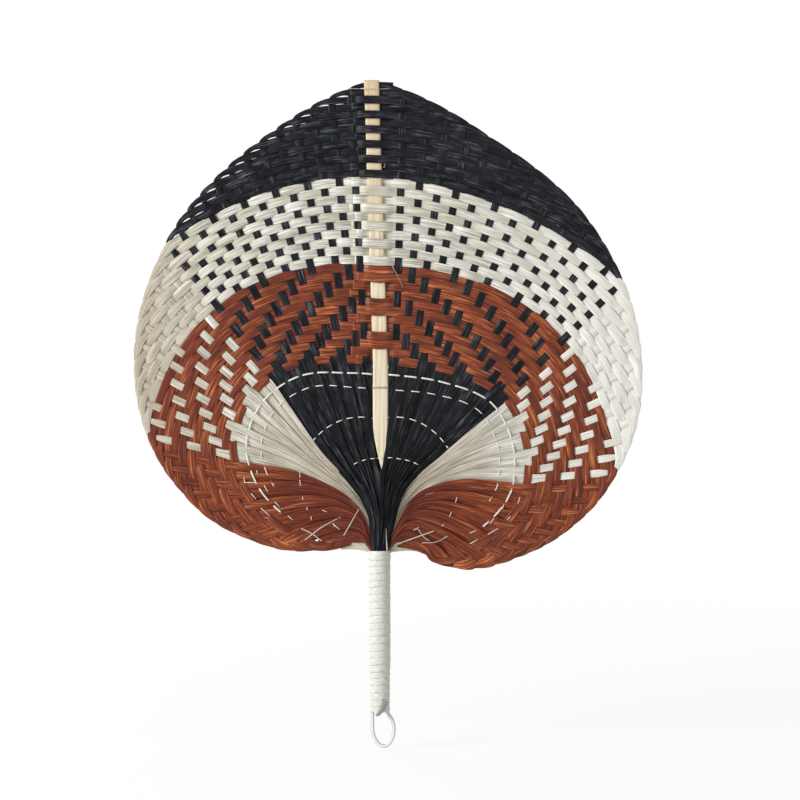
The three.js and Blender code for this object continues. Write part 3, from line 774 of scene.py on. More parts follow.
@dataclass
class WovenBlade:
    """The blade: every strip rises from the handle as a rib, folds at the rim and runs as a row.

    All sizes are in mm.
    """

    plan: WeavePlan
    spine: SpineSizes
    spacing: float = 1.25          # between the rings of a strip
    thickness: float = 0.34
    row_lift: float = 0.50         # of a row, before or behind a rib that it crosses
    rib_lift: float = 0.22         # of a rib, the other way
    rib_width: float = 4.3
    neck_width: float = 2.1        # in the handle
    neck_points: int = 60
    widest: float = 7.0            # at the window
    bend: float = 3.0              # the corner at the rim is rounded over this length of each leg
    crown: float = 0.11
    grip_top: float = 47.3
    behind_spine: float = 1.75     # the first strips lie this far back where they pass the spine
    slot_step: float = 0.41        # between black strips in the handle
    slot_ring: float = 5.5         # radius of the circle that the black strips lie under
    sway: float = 1.5              # how far the necks lean to the right, as a bell about a height
    sway_height: float = 68.0
    sway_length: float = 13.0
    station_half: float = 1.5      # half the length that a row is level where it crosses a rib
    further_apart: float = 0.18    # the right rows lie this far before the left ones
    under: float = 0.36            # how far the tails part from the other side's rows at the spine
    swing_width: float = 0.8       # how far the bare and rust strips waver above the handle
    cover: float = 1.3             # a strip's width for each step to its neighbour
    lobe_cover: float = 1.5        # the same for the rust strips from the sixth on
    lobe_start: int = 31           # from this strip on, ribs and rows are wider in the lobes
    step: float = 0.6              # between the points of a rib or row
    necks: dict[Side, Array] = field(default_factory=dict, repr=False)
    crossed: dict[tuple[int, Side], tuple[Array, Array]] = field(default_factory=dict, repr=False)

    # In the handle: x of the first bare or rust strip and its step, and y of the same
    NATURAL_SLOT = (4.3, 0.05, 2.6, -0.26)
    RUST_SLOT = (4.75, 0.01, 0.3, -0.14)
    # In the handle: heights, and the shares of the slot's x and y there
    GATHER = ((-46.5, 0.8), (-20.0, 0.8), (15.0, 0.92))
    # From on edge (0) to flat (1): the least, what is gained, and between which shares of the neck
    BLACK_TURN = (0.60, 0.34, 0.35, 0.9)
    OTHER_TURN = (0.40, 0.44, 0.2, 0.7)
    STANDS = {Colour.BLACK: 0.40, Colour.NATURAL: 0.18, Colour.RUST: 0.34}

    def slot(self, strip: int) -> tuple[float, float]:
        """Return (x, y) of a strip's end in the handle: black in front, the rest round behind.

        Black strips step sideways evenly and lie at mixed depths under the front of the circle;
        the natural ones stand behind them, and the rust ones outermost.
        """
        plan = self.plan
        if strip <= plan.black_strips:
            x = 0.25 + (strip - 1) * self.slot_step
            mix = (strip * 5 % 13) / 12
            return x, -math.sqrt(self.slot_ring**2 - x**2) * (0.36 + 0.54 * mix)
        rust = strip >= plan.rust_start
        x, aside, y, back = self.RUST_SLOT if rust else self.NATURAL_SLOT
        step = strip - (plan.rust_start if rust else plan.black_strips + 1)
        return x + aside * step, y + back * step

    def neck_curve(self, strip: int, side: Side) -> Array:
        """Return (x, z) of a strip from the handle's top to its root at the window.

        The curve is a cubic whose two inner corners count twice, so that it follows them closely:
        (1-s)^3 A + 6(1-s)^2 s B + 6(1-s) s^2 C + s^3 D, over the sum of the four weights. B is the
        throat, straight above the handle, and C is placed so that the curve passes its knee half
        way. Above the handle all the strips sway to the right by 1.5 e^(-((z - 68) / 13)^2) mm.
        """
        plan = self.plan
        x, _ = self.slot(strip)
        throat, knee = ([plan.anchored([spot[axis] for spot in table], strip) * sign
                         for axis, sign in enumerate((side.value, 1.0))]
                        for table in (plan.THROATS, plan.KNEES))
        start = np.array([x * side.value, self.grip_top])
        throat, knee = np.array(throat), np.array(knee)
        root, _ = plan.rib_line(strip, side)
        weight = np.array([1.0, 2.0, 2.0, 1.0])
        corner = (knee * 1.75 - (start + root) / 8) / 0.75 - throat
        s = np.linspace(0, 1, self.neck_points)[:, None]
        share = np.hstack([(1 - s) ** 3, 3 * (1 - s) ** 2 * s, 3 * (1 - s) * s**2, s**3]) * weight
        curve = share @ np.stack([start, throat, corner, root]) / share.sum(1, keepdims=True)
        curve[:, 0] += self.sway * np.exp(
            -(((curve[:, 1] - self.sway_height) / self.sway_length) ** 2))
        return curve

    def neck_gap(self, strip: int, side: Side) -> Array:
        """Return the distance from a neck to its neighbours, square to it, all along it."""
        if side not in self.necks:
            curves = np.stack([self.neck_curve(i, side) for i in range(1, self.plan.strips + 1)])
            way = unit(np.gradient(curves, axis=1))
            normal = np.stack([-way[..., 1], way[..., 0]], -1)
            gaps = np.abs((np.diff(curves, axis=0) * normal[:-1]).sum(-1))
            self.necks[side] = np.vstack([gaps[:1], np.maximum(gaps[:-1], gaps[1:]), gaps[-1:]])
        return self.necks[side][strip - 1]

    def root_width(self, strip: int, side: Side) -> float:
        """Return how wide a strip is at the window: a little more than the step to its neighbour.

        The first strip is wide enough to reach the spine's edge.
        """
        if strip == 1:
            root, _ = self.plan.rib_line(strip, side)
            middle = float(self.spine.centre(self.plan, root[1]))
            return 2 * (abs(root[0] - middle) - self.spine.width / 2 - 0.05)
        more = 1.2 if strip > self.plan.black_strips else 1.3
        return float(np.clip(self.neck_gap(strip, side)[-1] * more, self.rib_width, self.widest))

    def neck(self, strip: int, side: Side) -> tuple[Array, Array, Array]:
        """Return a strip from its end in the handle to its root: points (n, 3), turn, width.

        In the handle it runs straight and gathers in towards the butt. Its depth fades from the
        slot's, and it turns from half on edge to nearly flat, lapping its neighbour as a shingle
        does. Its width w closes the gap g to its neighbours at a turn t: w sin(90 t) = 1.3 g. The
        bare and the rust strips waver sideways by sin(180 share) times a swing of their own. The
        second strips are wide enough to hide the foot of the spine.
        """
        plan, (x, y) = self.plan, self.slot(strip)
        curve = self.neck_curve(strip, side)
        heights, gather = np.array(self.GATHER).T
        butt = np.stack([gather * x * side.value, heights], 1)
        share = np.linspace(0, 1, self.neck_points)
        fade = (0.05, 0.40) if strip == 1 else (0.15, 0.75)
        level = np.full(len(share), self.fan_depth(strip))
        if strip == 1:
            level = self.behind_spine + (level - self.behind_spine) * smoothstep(share, 0.76, 0.95)
        depth = y * (1 - smoothstep(share, *fade)) + level * smoothstep(share, *fade)
        black = strip <= plan.black_strips
        least, gained, *between = self.BLACK_TURN if black else self.OTHER_TURN
        turn = least + gained * smoothstep(share, *between)
        if not black:
            way = tangents(curve)
            swing = (self.swing_width * math.sin(7.3 * strip + 2 * side.value)
                     * np.sin(math.pi * share))
            curve = curve + np.stack([-way[:, 1], way[:, 0]], 1) * swing[:, None]
        points = standing(np.vstack([butt, curve]), np.concatenate([gather * y, depth]))
        root = self.root_width(strip, side)
        cover = self.lobe_cover if strip >= plan.rust_start + 5 else self.cover
        width = cover * self.neck_gap(strip, side) / np.sin(turn * math.pi / 2)
        if strip == 2:
            low = 1.0 - smoothstep(curve[:, 1], 92.0, 99.0)
            width = np.maximum(width, 2.4 * np.abs(curve[:, 0]) * low + 0.3)
        width = np.clip(width, self.neck_width, root)
        width = soften(width + (root - width) * smoothstep(share, 0.7, 1.0), 3)
        ahead = np.ones(len(gather))
        return (points, np.concatenate([turn[0] * ahead, turn]),
                np.concatenate([self.neck_width * ahead, width]))

    def fan_depth(self, strip: int) -> float:
        """Return how far a rib stands off in the open fan: neighbours lie before and behind."""
        stand = self.STANDS[self.plan.colour(strip)]
        return stand if strip % 2 else -stand

    def rib(self, strip: int, side: Side) -> tuple[Array, Array]:
        """Return the straight rib from root to just short of its fold: points (n, 3) and width.

        Its depth steps to one side at each row that it crosses, its width goes from the root's to
        the plain rib's over the first rows, and it narrows a little where it curls over at the rim.
        """
        root, fold = self.plan.rib_line(strip, side)
        length = np.linalg.norm(fold - root)
        reach = max(length - self.bend, 0.35 * length)
        run = np.linspace(0.0, reach, max(int(reach / self.step), 3))
        flat = root + (fold - root) * (run / length)[:, None]
        places, _ = self.plan.crossings(strip, side)
        rows = np.arange(strip + 1, self.plan.strips + 1)
        lifts = np.array([-1.0 if self.plan.in_front(int(row), strip) else 1.0 for row in rows])
        if len(places):
            order = np.argsort(places)
            depth = plateaus(run, places[order], lifts[order] * self.rib_lift, 0.9)
            ease = smoothstep(run, 0.0, max(places.min(), 1.0))
            depth = self.fan_depth(strip) * (1 - ease) + depth * ease
        else:
            depth = np.full(len(run), self.fan_depth(strip)) * (1 - smoothstep(run, 0, 5))
        start = self.root_width(strip, side)
        plain = self.rib_width * (1.5 if strip >= self.lobe_start else 1.0)
        width = start + (plain - start) * smoothstep(run, 0.0, 14.0)
        width = width * (1 - 0.35 * smoothstep(run, length - 10.0, reach))
        return standing(flat, depth), width

    def row(self, strip: int, side: Side) -> tuple[Array, Array]:
        """Return a row from its fold to its end past the spine: points (n, 3) and width.

        Its depth steps before or behind each rib and the spine. The right strip ends past the first
        rib of the other side, and the left one close beside the spine, under the right.
        """
        plan, other = self.plan, side.other
        _, fold = plan.rib_line(strip, side)
        start = float(plan.polar_angle(fold[None])[0])
        own = np.linspace(start, 0.0, max(int(start * 6), 24))
        beyond = self.tail_angle(strip, side)
        far = np.linspace(0.0, beyond, 16)[1:]
        inwards, share = plan.curl(strip, side, own)
        shift, cut = self.slits(strip, side, own)
        radius = plan.row_radius(strip, side, own) - inwards + shift
        flat = np.vstack([plan.polar(radius, own, side),
                          plan.polar(plan.row_radius(strip, other, far), far, other)])
        signed = np.concatenate([own, -far])
        pitch = np.concatenate([plan.row_pitch(strip, side, own) * share - cut,
                                plan.row_pitch(strip, other, far)])
        flat, signed, pitch = resample(flat, self.step, (signed, pitch))
        flat = soften(flat, 6)
        radius = np.linalg.norm(plan.from_pole(flat), axis=1)
        stations, lifts = self.row_stations(strip, side)
        order = np.argsort(stations)
        angle_half = np.degrees(self.station_half / radius.mean())
        depth = plateaus(signed, stations[order], lifts[order], angle_half)
        depth = depth * smoothstep(np.arange(len(depth)) * self.step, -0.5, 4.0)
        outward = plan.from_pole(flat) / radius[:, None]
        way = tangents(flat)
        normal = np.stack([-way[:, 1], way[:, 0]], 1)
        curls = side is Side.LEFT and strip <= plan.black_strips
        if strip >= self.lobe_start:
            pitch = pitch * (1.0 + 0.3 * smoothstep(signed, 112.0, 130.0))
        width = pitch * np.abs((normal * outward).sum(1)) * (1.02 if curls else 1.08)
        return standing(flat, depth), width

    def slits(self, strip: int, side: Side, angle: Array) -> tuple[Array, Array]:
        """Return how far a row moves outwards and how much width it loses beside a second slit.

        On the left most black rows part from the next one in once more, in a thin slit behind the
        first: the row loses it from its inner edge one step before its fold.
        """
        plan = self.plan
        if side is Side.RIGHT or not 2 <= strip < plan.black_strips or strip % 3 == 1:
            return np.zeros_like(angle), np.zeros_like(angle)
        steps = plan.steps_in(strip, side, angle)
        lost = 0.5 * smoothstep(steps, 1.15, 1.3) * (1.0 - smoothstep(steps, 1.6, 1.75))
        return lost / 2, lost

    def tail_angle(self, strip: int, side: Side) -> float:
        """Return how far past the spine a row ends, in degrees on the other side."""
        plan = self.plan
        radius = float(plan.row_radius(strip, side, 0.0))
        if strip == 1:
            further = 4.6 if side is Side.LEFT else 0.8
        else:
            further = 3.5 if side is Side.LEFT else 8.0 + strip * 7 % 5
        return math.degrees((self.spine.width / 2 + further) / radius)

    def row_stations(self, strip: int, side: Side) -> tuple[Array, Array]:
        """Return where a row crosses ribs and the spine, as signed angles, and its depths."""
        plan, angles, lifts = self.plan, [], []
        layer = 0.0 if side is Side.LEFT else -self.further_apart
        for here, sign, ribs in ((side, 1.0, range(1, strip)),
                                 (side.other, -1.0, range(1, min(3, strip)))):
            for rib in ribs:
                _, at = self.crossings(rib, here)
                angles.append(sign * at[strip - rib - 1])
                lifts.append(self.row_lift if plan.in_front(strip, rib) else -self.row_lift)
        radius = float(plan.row_radius(strip, side, 0.0))
        z = plan.pole_height + radius
        middle = float(self.spine.centre(plan, z))
        clear = self.spine.thickness / 2 + self.thickness / 2 + 0.06
        sign = 1.0 if plan.in_front(strip, 0) else -1.0
        if sign != side.value:
            clear += self.under
        for edge in (-1.0, 0.0, 1.0):
            x = middle + edge * self.spine.width * 0.45 - plan.pole_sideways
            angles.append(math.degrees(math.asin(x / radius)) * side.value)
            lifts.append(sign * clear)
        return np.array(angles), np.array(lifts) + layer

    def crossings(self, rib: int, side: Side) -> tuple[Array, Array]:
        """Return the plan's crossings of a rib, worked out once."""
        if (rib, side) not in self.crossed:
            self.crossed[rib, side] = self.plan.crossings(rib, side)
        return self.crossed[rib, side]

    def strip_band(self, strip: int, side: Side) -> Tube:
        """Return the rings and places of one whole strip, from the handle to its tail.

        The corner at the rim is a curve (1-s)^2 A + 2(1-s)s F + s^2 B between a point A short of
        the fold F on the rib and a point B past it on the row. The strip's face turns from on edge
        in the handle (0) to flat (1).
        """
        neck, neck_turn, neck_width = self.neck(strip, side)
        rib, rib_width = self.rib(strip, side)
        row, row_width = self.row(strip, side)
        past = int(np.searchsorted(lengths_along(row), self.bend))
        row, row_width = row[past:], row_width[past:]
        _, fold = self.plan.rib_line(strip, side)
        corner = np.array([fold[0], (rib[-1, 1] + row[0, 1]) / 2, fold[1]])
        corner += 0.5 * unit(2 * corner - rib[-1] - row[0])
        s = np.linspace(0, 1, 9)[1:-1, None]
        arc = (1 - s) ** 2 * rib[-1] + 2 * (1 - s) * s * corner + s**2 * row[0]
        arc_width = np.linspace(rib_width[-1], row_width[0], 7)
        points = np.vstack([neck[:-1], rib, arc, row])
        settled = smoothstep(lengths_along(points[len(neck) - 1:]), 0.0, 6.0)
        turn = np.concatenate([neck_turn[:-1], neck_turn[-1] + (1 - neck_turn[-1]) * settled])
        width = np.concatenate([neck_width[:-1], rib_width, arc_width, row_width])
        points, turn, width = resample(points, self.spacing, (turn, width))
        points = soften(points, 1)
        return band_rings(points, *facing(points, turn, side.value), width, self.thickness,
                          self.crown * turn)

    def dress(self) -> list[bpy.types.Object]:
        """Make one piece for each pair of strips, left and right, and dress it."""
        made, finishes = [], {Colour.BLACK: BLACK_STRIP.make(),
                              Colour.NATURAL: NATURAL_STRIP.make(), Colour.RUST: RUST_STRIP.make()}
        for strip in range(1, self.plan.strips + 1):
            colour = self.plan.colour(strip)
            bands = [self.strip_band(strip, side) for side in Side]
            name = f"{colour.value}_strip_{strip:02d}"
            piece = make_piece(f"{name}_woven", bands, finishes[colour],
                               (strip, strip + 50.0))
            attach(piece, "fan")
            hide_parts(name)
            made.append(piece)
        return made


def standing(flat: Array, depth: Array) -> Array:
    """Return points (n, 3) for (x, z) and a depth y."""
    return np.stack([flat[:, 0], depth, flat[:, 1]], 1)


def plateaus(run: Array, stations: Array, values: Array, half: float) -> Array:
    """Return a depth that holds each station's value and changes smoothly in between.

    Around a station the value is flat for half, or 0.3 of the way to its neighbour where that is
    less; between two flats it follows 3s^2 - 2s^3.

    Args:
        run: places along the strip (n,).
        stations: places of the crossings, rising (m,).
        values: the depth at each (m,).
        half: half the length that is flat.

    Returns:
        The depth at each place (n,).
    """
    if len(stations) == 1:
        return np.full(len(run), values[0])
    index = np.clip(np.searchsorted(stations, run) - 1, 0, len(stations) - 2)
    gap = np.maximum(stations[index + 1] - stations[index], 1e-6)
    flat = np.minimum(half, 0.3 * gap)
    share = (run - stations[index] - flat) / np.maximum(gap - 2 * flat, 1e-6)
    share = smoothstep(share, 0.0, 1.0)
    return values[index] + (values[index + 1] - values[index]) * share


def catmull_rom(points: Array, per_span: int) -> Array:
    """Return a smooth curve through points: each span blends its four nearest points.

    p = 0.5 (2 B + (C - A) s + (2 A - 5 B + 4 C - D) s^2 + (3 B - A - 3 C + D) s^3).
    """
    padded = np.vstack([2 * points[0] - points[1], points, 2 * points[-1] - points[-2]])
    s = np.linspace(0, 1, per_span, endpoint=False)[None, :, None]
    a, b, c, d = (padded[i:len(padded) - 3 + i][:, None] for i in range(4))
    spans = 0.5 * (2 * b + (c - a) * s + (2 * a - 5 * b + 4 * c - d) * s**2
                   + (3 * b - a - 3 * c + d) * s**3)
    return np.vstack([spans.reshape(-1, points.shape[1]), points[-1:]])


def from_picture(spots: Sequence[tuple[float, float]], depth: float) -> Array:
    """Return points (n, 3) in mm for spots in the picture, counted right and down, at a depth."""
    seen = np.array(spots, float)
    return np.stack([(seen[:, 0] - PICTURE_MIDDLE[0]) * PICTURE_SCALE, np.full(len(seen), depth),
                     (PICTURE_MIDDLE[1] - seen[:, 1]) * PICTURE_SCALE], 1)


def traced(spots: Sequence[tuple[float, float]], depth: float) -> Array:
    """Return a smooth path through spots in the picture, at a depth."""
    return catmull_rom(from_picture(spots, depth), 12)


@dataclass
class CaneSpine:
    """The split cane up the middle of the blade, with one joint and a square-cut tip."""

    sizes: SpineSizes
    plan: WeavePlan
    corners: int = 24

    def rings(self) -> Tube:
        """Return its rings and places.

        A ring is a flattened oval, x = w/2 |cos|^0.45, y = t/2 |sin|^0.7 with their signs. The
        width grows from the tang's over the taper, and the joint swells as a bell, e^(-(dz/l)^2).
        """
        sizes = self.sizes
        tip = (self.plan.pole_height + float(self.plan.row_radius(1, Side.RIGHT, 0.0))
               + sizes.tip_rise)
        fine = np.linspace(sizes.joint_height - 5, sizes.joint_height + 5, 41)
        z = np.unique(np.concatenate([np.linspace(sizes.butt, sizes.foot, 12), fine,
                                      np.linspace(sizes.foot, 135, 24), np.linspace(150, tip, 60)]))
        spread = np.interp((z - sizes.foot) / sizes.taper, (0, 0.25, 1), (0, 0.5, 1))
        spread = soften(spread, 2)
        joint = np.exp(-(((z - sizes.joint_height) / sizes.joint_length) ** 2))
        groove = -0.35 * np.exp(-(((z - sizes.joint_height) / 0.35) ** 2))
        width = sizes.tang_width + (sizes.width - sizes.tang_width) * spread
        width = width + (joint + groove) * sizes.joint_swell
        width = width + 0.12 * np.sin(z / 17) + 0.08 * np.sin(z / 7 + 1)
        thick = sizes.thickness + (joint + groove) * sizes.joint_swell
        thick = thick - 0.25 * smoothstep(z, tip - 1.0, tip)
        turn = np.arange(self.corners) / self.corners * 2 * math.pi
        side = np.sign(np.cos(turn)) * np.abs(np.cos(turn)) ** 0.45
        out = np.sign(np.sin(turn)) * np.abs(np.sin(turn)) ** 0.7
        x = sizes.centre(self.plan, z)[:, None] + side * width[:, None] / 2
        y = out * thick[:, None] / 2
        rings = np.stack([x, y, np.broadcast_to(z[:, None], x.shape)], -1)
        return rings, np.stack([side * width[:, None] / 2, rings[..., 2]], -1)

    def dress(self) -> bpy.types.Object:
        """Make the spine in place of its solid."""
        finish = CaneFinish(joint_height=self.sizes.joint_height).make()
        piece = make_piece("spine_cane", [self.rings()], finish)
        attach(piece, "fan")
        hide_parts("spine")
        return piece


@dataclass
class WoundHandle:
    """The handle: one satin ribbon wound round the strips, each turn lapping the one below."""

    turns: float = 23
    length: float = 94.6
    thickness: float = 0.3
    lap: float = 1.3               # the ribbon is this much wider than the step of its turns
    steps: int = 48                # a turn

    HEIGHTS = (-47.3, -40.0, -22.5, -19.0, 0.0, 22.0, 47.3)
    RADII = (5.35, 5.45, 5.6, 5.95, 6.0, 6.0, 6.05)

    def rings(self) -> Tube:
        """Return the ribbon's rings and places.

        The middle line is a helix: x = r cos a, y = r sin a, z rises by a pitch a turn. At both
        ends it stays level for a turn, on top of the turn before it. The lower edge stands out by
        one thickness, because it lies on the turn below.
        """
        pitch = self.length / self.turns
        width = pitch * self.lap
        turn = np.linspace(-0.9, self.turns + 0.15, int((self.turns + 1.05) * self.steps))
        wander = 0.22 * np.sin(turn * 1.9) + 0.16 * np.sin(turn * 5.3 + 1.0)
        z = -self.length / 2 + width / 2 + turn * pitch + wander
        z = np.clip(z, -self.length / 2 + width / 2, self.length / 2 - width / 2)
        angle = turn * 2 * math.pi - 0.6
        level = 0.25 * smoothstep(turn, self.turns - 1.3, self.turns - 0.8)
        radius = np.interp(z, self.HEIGHTS, self.RADII) + self.thickness / 2 + level
        radius = radius + 0.05 * np.sin(angle * 3 + z * 0.7)
        lean = np.interp(z, (-47.3, 47.3), (0.0, -0.35))
        outwards = np.stack([np.cos(angle), np.sin(angle), np.zeros_like(angle)], 1)
        centre = outwards * radius[:, None]
        centre[:, 0] += lean
        centre[:, 2] = z
        tilt = self.thickness * 1.25 / width
        across = unit(np.array([0, 0, 1.0]) - outwards * tilt)
        through = unit(outwards + np.array([0, 0, 1.0]) * tilt)
        return band_rings(centre, across, through, width, self.thickness, 0.05)

    def tail(self) -> Tube:
        """Return the ribbon's end: folded over the butt in front, between the legs of the loop."""
        path = catmull_rom(np.array([[3.4, -5.9, -40.5], [2.4, -6.15, -43.5], [0.9, -6.0, -46.2],
                                     [-0.9, -5.2, -48.4], [-2.2, -3.6, -49.4]]), 8)
        way = tangents(path)
        outwards = unit(np.stack([0.15 * way[:, 0], -np.ones(len(way)), -0.35 + 0 * way[:, 0]], 1))
        across = unit(np.cross(way, outwards))
        width = np.interp(np.arange(len(path)), (0, len(path) - 1), (3.4, 1.6))
        return band_rings(path, across, outwards, width, 0.25, 0.25)

    def dress(self) -> list[bpy.types.Object]:
        """Make the winding in place of its solid, and its folded end, whose darker grey is painted
        shadow.
        """
        half = self.length / self.turns * self.lap / 2
        piece = make_piece("handle_ribbon_wound", [self.rings()],
                           RibbonFinish(half_width=half).make())
        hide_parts("handle_ribbon")
        # The folded end is painted in darker greys as shadow.
        back = RibbonFinish("back of the satin ribbon", dark="#6E7370", middle="#858A87",
                            light="#A3A7A4", half_width=1.7)
        end = make_piece("handle_ribbon_end", [self.tail()], back.make())
        for made in (piece, end):
            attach(made, "fan")
        return [piece, end]


@dataclass
class HangingLoop:
    """The loop of thin cord under the butt: out of the handle on the left and back on the right."""

    diameter: float = 2.0

    ROUTE = ((-4.3, -47.0), (-4.4, -48.8), (-4.5, -52.0), (-4.4, -56.0), (-4.0, -60.2),
             (-2.4, -64.4), (0.4, -67.2), (3.5, -67.6), (6.1, -65.4), (7.8, -61.4), (8.2, -56.8),
             (7.1, -52.2), (4.9, -48.9), (3.9, -47.0))

    def dress(self) -> bpy.types.Object:
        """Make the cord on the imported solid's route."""
        route = np.array([[x, 0.0, z] for x, z in self.ROUTE])
        path = catmull_rom(route, 10)
        finish = CordFinish(radius=self.diameter / 2).make()
        piece = make_piece("hanging_loop_cord", [round_rings(path, self.diameter / 2, 16)], finish)
        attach(piece, "loop")
        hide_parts("hanging_loop")
        return piece


@dataclass
class Stitching:
    """Thread sewn through the open ribs and the lobes, over one strip and under the next."""

    blade: WovenBlade
    spine: SpineSizes
    radius: float = 0.29
    beside_spine: float = 3.5      # where a line goes behind the spine, from its middle
    lowest_step: float = 2.6

    # Inset from the window's edge, or the radius at the spine and its growth to each degree; the
    # first and last strip; and whether it passes in front of the odd strips or the even ones
    LINES = ((5.8, None, 1, 29, 1), (14.6, None, 1, 26, 0), (0.0, (29.3, 0.19), 1, 13, 1))
    # How far each line's stitches reach to the next strip, and how thick its thread is
    STITCHES = ((0.34, 1.8), (0.14, 1.1), (0.08, 1.1))
    # Single stitches over one strip in the lobes: both ends as seen in the picture
    LOBES = ((257, 470, 257.5, 474.5), (244, 477, 245, 483), (243, 482.5, 262, 482.5),
             (264, 485, 268, 492), (251, 493, 256, 499), (274, 501, 280, 507), (300, 471, 300, 478),
             (300, 480, 300.5, 486), (302.5, 495, 303, 500), (307, 507, 307.5, 511.5),
             (322, 510, 327, 512), (287, 515, 293, 520), (311, 516, 311.5, 520),
             (261, 508, 270, 516), (333, 523, 335, 527), (512, 488, 511, 494),
             (457, 497, 455.5, 503), (504, 504, 502.5, 509), (520, 497, 518, 504),
             (511, 516, 507, 520), (451.5, 512, 449, 518), (444, 524, 442, 526.5),
             (495, 517, 490, 524), (499, 528, 487, 535), (478, 539, 470, 544),
             (477, 530, 469.5, 533.5))
    STITCH_DEPTH = -0.92           # of the lengthened stitches, before the strips
    THROUGH = 0.56                 # from a rib's middle to the thread before or behind it
    LOWEST = ((352, 465.5), (357, 462.5), (361, 461), (369, 459), (373, 458.6), (381, 458.2),
              (391, 457.6), (395, 458), (405, 460), (411, 461), (417, 464), (421, 466.5))

    def line(self, inset: float, ring: tuple[float, float] | None, first: int, last: int,
             front: int, side: Side) -> Array:
        """Return where a line of stitches meets each rib: a point (x, y, z) a rib, from the spine.

        The line runs at a fixed distance inside the window's edge, or on a ring that widens, and a
        rib's path meets it where the rib's distance from the pole, less the line's, passes through
        nought.
        """
        plan, spots = self.blade.plan, []
        for strip in range(first, last + 1):
            points, _, _ = self.blade.neck(strip, side)
            points = points[20:]
            angle = plan.polar_angle(points[:, [0, 2]])
            radius = np.linalg.norm(plan.from_pole(points[:, [0, 2]]), axis=1)
            wanted = ring[0] + ring[1] * angle if ring else plan.window(side, angle) - inset
            order = np.arange(len(points), dtype=float)
            place = np.interp(0.0, radius - wanted, order)
            spot = np.array([np.interp(place, order, points[:, axis]) for axis in range(3)])
            spots.append(spot + [0.0, -self.THROUGH if strip % 2 == front else self.THROUGH, 0.0])
        return np.array(spots)

    def single(self, ends: tuple[float, float, float, float]) -> Tube:
        """Return one stitch between two places: its middle lies on the strip, its ends dive in."""
        first, last = from_picture([ends[:2], ends[2:]], 0.0)
        share = np.linspace(0, 1, 12)[:, None]
        path = first + (last - first) * share
        path[:, 1] = 0.1 - 1.15 * np.sin(share[:, 0] * math.pi) ** 0.35
        return round_rings(path, 0.8 * self.radius, 8, guide=(0.0, 0.0, 1.0))

    def lengthen(self, spots: Array, reach: float) -> Array:
        """Return the spots with each one in front drawn out to both sides by a share of the way."""
        order = np.arange(len(spots))
        ends = np.stack([spots + (spots[np.clip(order + step, 0, len(spots) - 1)] - spots) * reach
                         for step in (-1, 1)], 1)
        ends[..., 1] = np.minimum(spots[:, None, 1], self.STITCH_DEPTH)
        return np.vstack([ends[i] if spots[i, 1] < 0 else spots[i:i + 1] for i in order])

    def sew(self, spots: Array, thicker: float = 1.0) -> Tube:
        """Return the thread through the spots, flat over each strip and quick between them."""
        run = lengths_along(spots[:, [0, 2]])
        places = np.linspace(0, run[-1], int(run[-1] / 0.5) + 2)
        depth = plateaus(places, run, spots[:, 1], 1.9)
        path = np.stack([np.interp(places, run, spots[:, 0]), depth,
                         np.interp(places, run, spots[:, 2])], 1)
        return round_rings(soften(path, 1), self.radius * thicker, 8, guide=(0.0, 0.0, 1.0))

    def lowest(self) -> Array:
        """Return the spots of the lowest line, before and behind the strips in turn."""
        line = from_picture(self.LOWEST, 0.0)
        run = lengths_along(line)
        places = np.arange(0.0, run[-1], self.lowest_step)
        spots = np.stack([np.interp(places, run, line[:, i]) for i in range(3)], 1)
        spots[:, 1] = np.where(np.arange(len(spots)) % 2, -2.0, 1.2)
        return spots

    def dress(self) -> list[bpy.types.Object]:
        """Make each line of stitches, the first three in place of their solids."""
        finish, made = STITCH_THREAD.make(), []
        for number, (sewn, stitches) in enumerate(zip(self.LINES, self.STITCHES), 1):
            right, left = self.line(*sewn, Side.RIGHT)[::-1], self.line(*sewn, Side.LEFT)
            z = (right[-1, 2] + left[0, 2]) / 2
            middle = float(self.spine.centre(self.blade.plan, z))
            between = self.spine.thickness / 2 + 1.85 * self.radius
            behind = np.array([[middle + self.beside_spine, between, z],
                               [middle - self.beside_spine, between, z]])
            reach, thicker = stitches
            spots = self.lengthen(np.vstack([right, behind, left]), reach)
            piece = make_piece(f"stitching_thread_{number}_sewn", [self.sew(spots, thicker)],
                               finish)
            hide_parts(f"stitching_thread_{number}")
            made.append(piece)
        tubes = [self.sew(self.lowest()), *(self.single(ends) for ends in self.LOBES)]
        made.append(make_piece("stitching_further", tubes, finish))
        for piece in made:
            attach(piece, "fan")
        return made


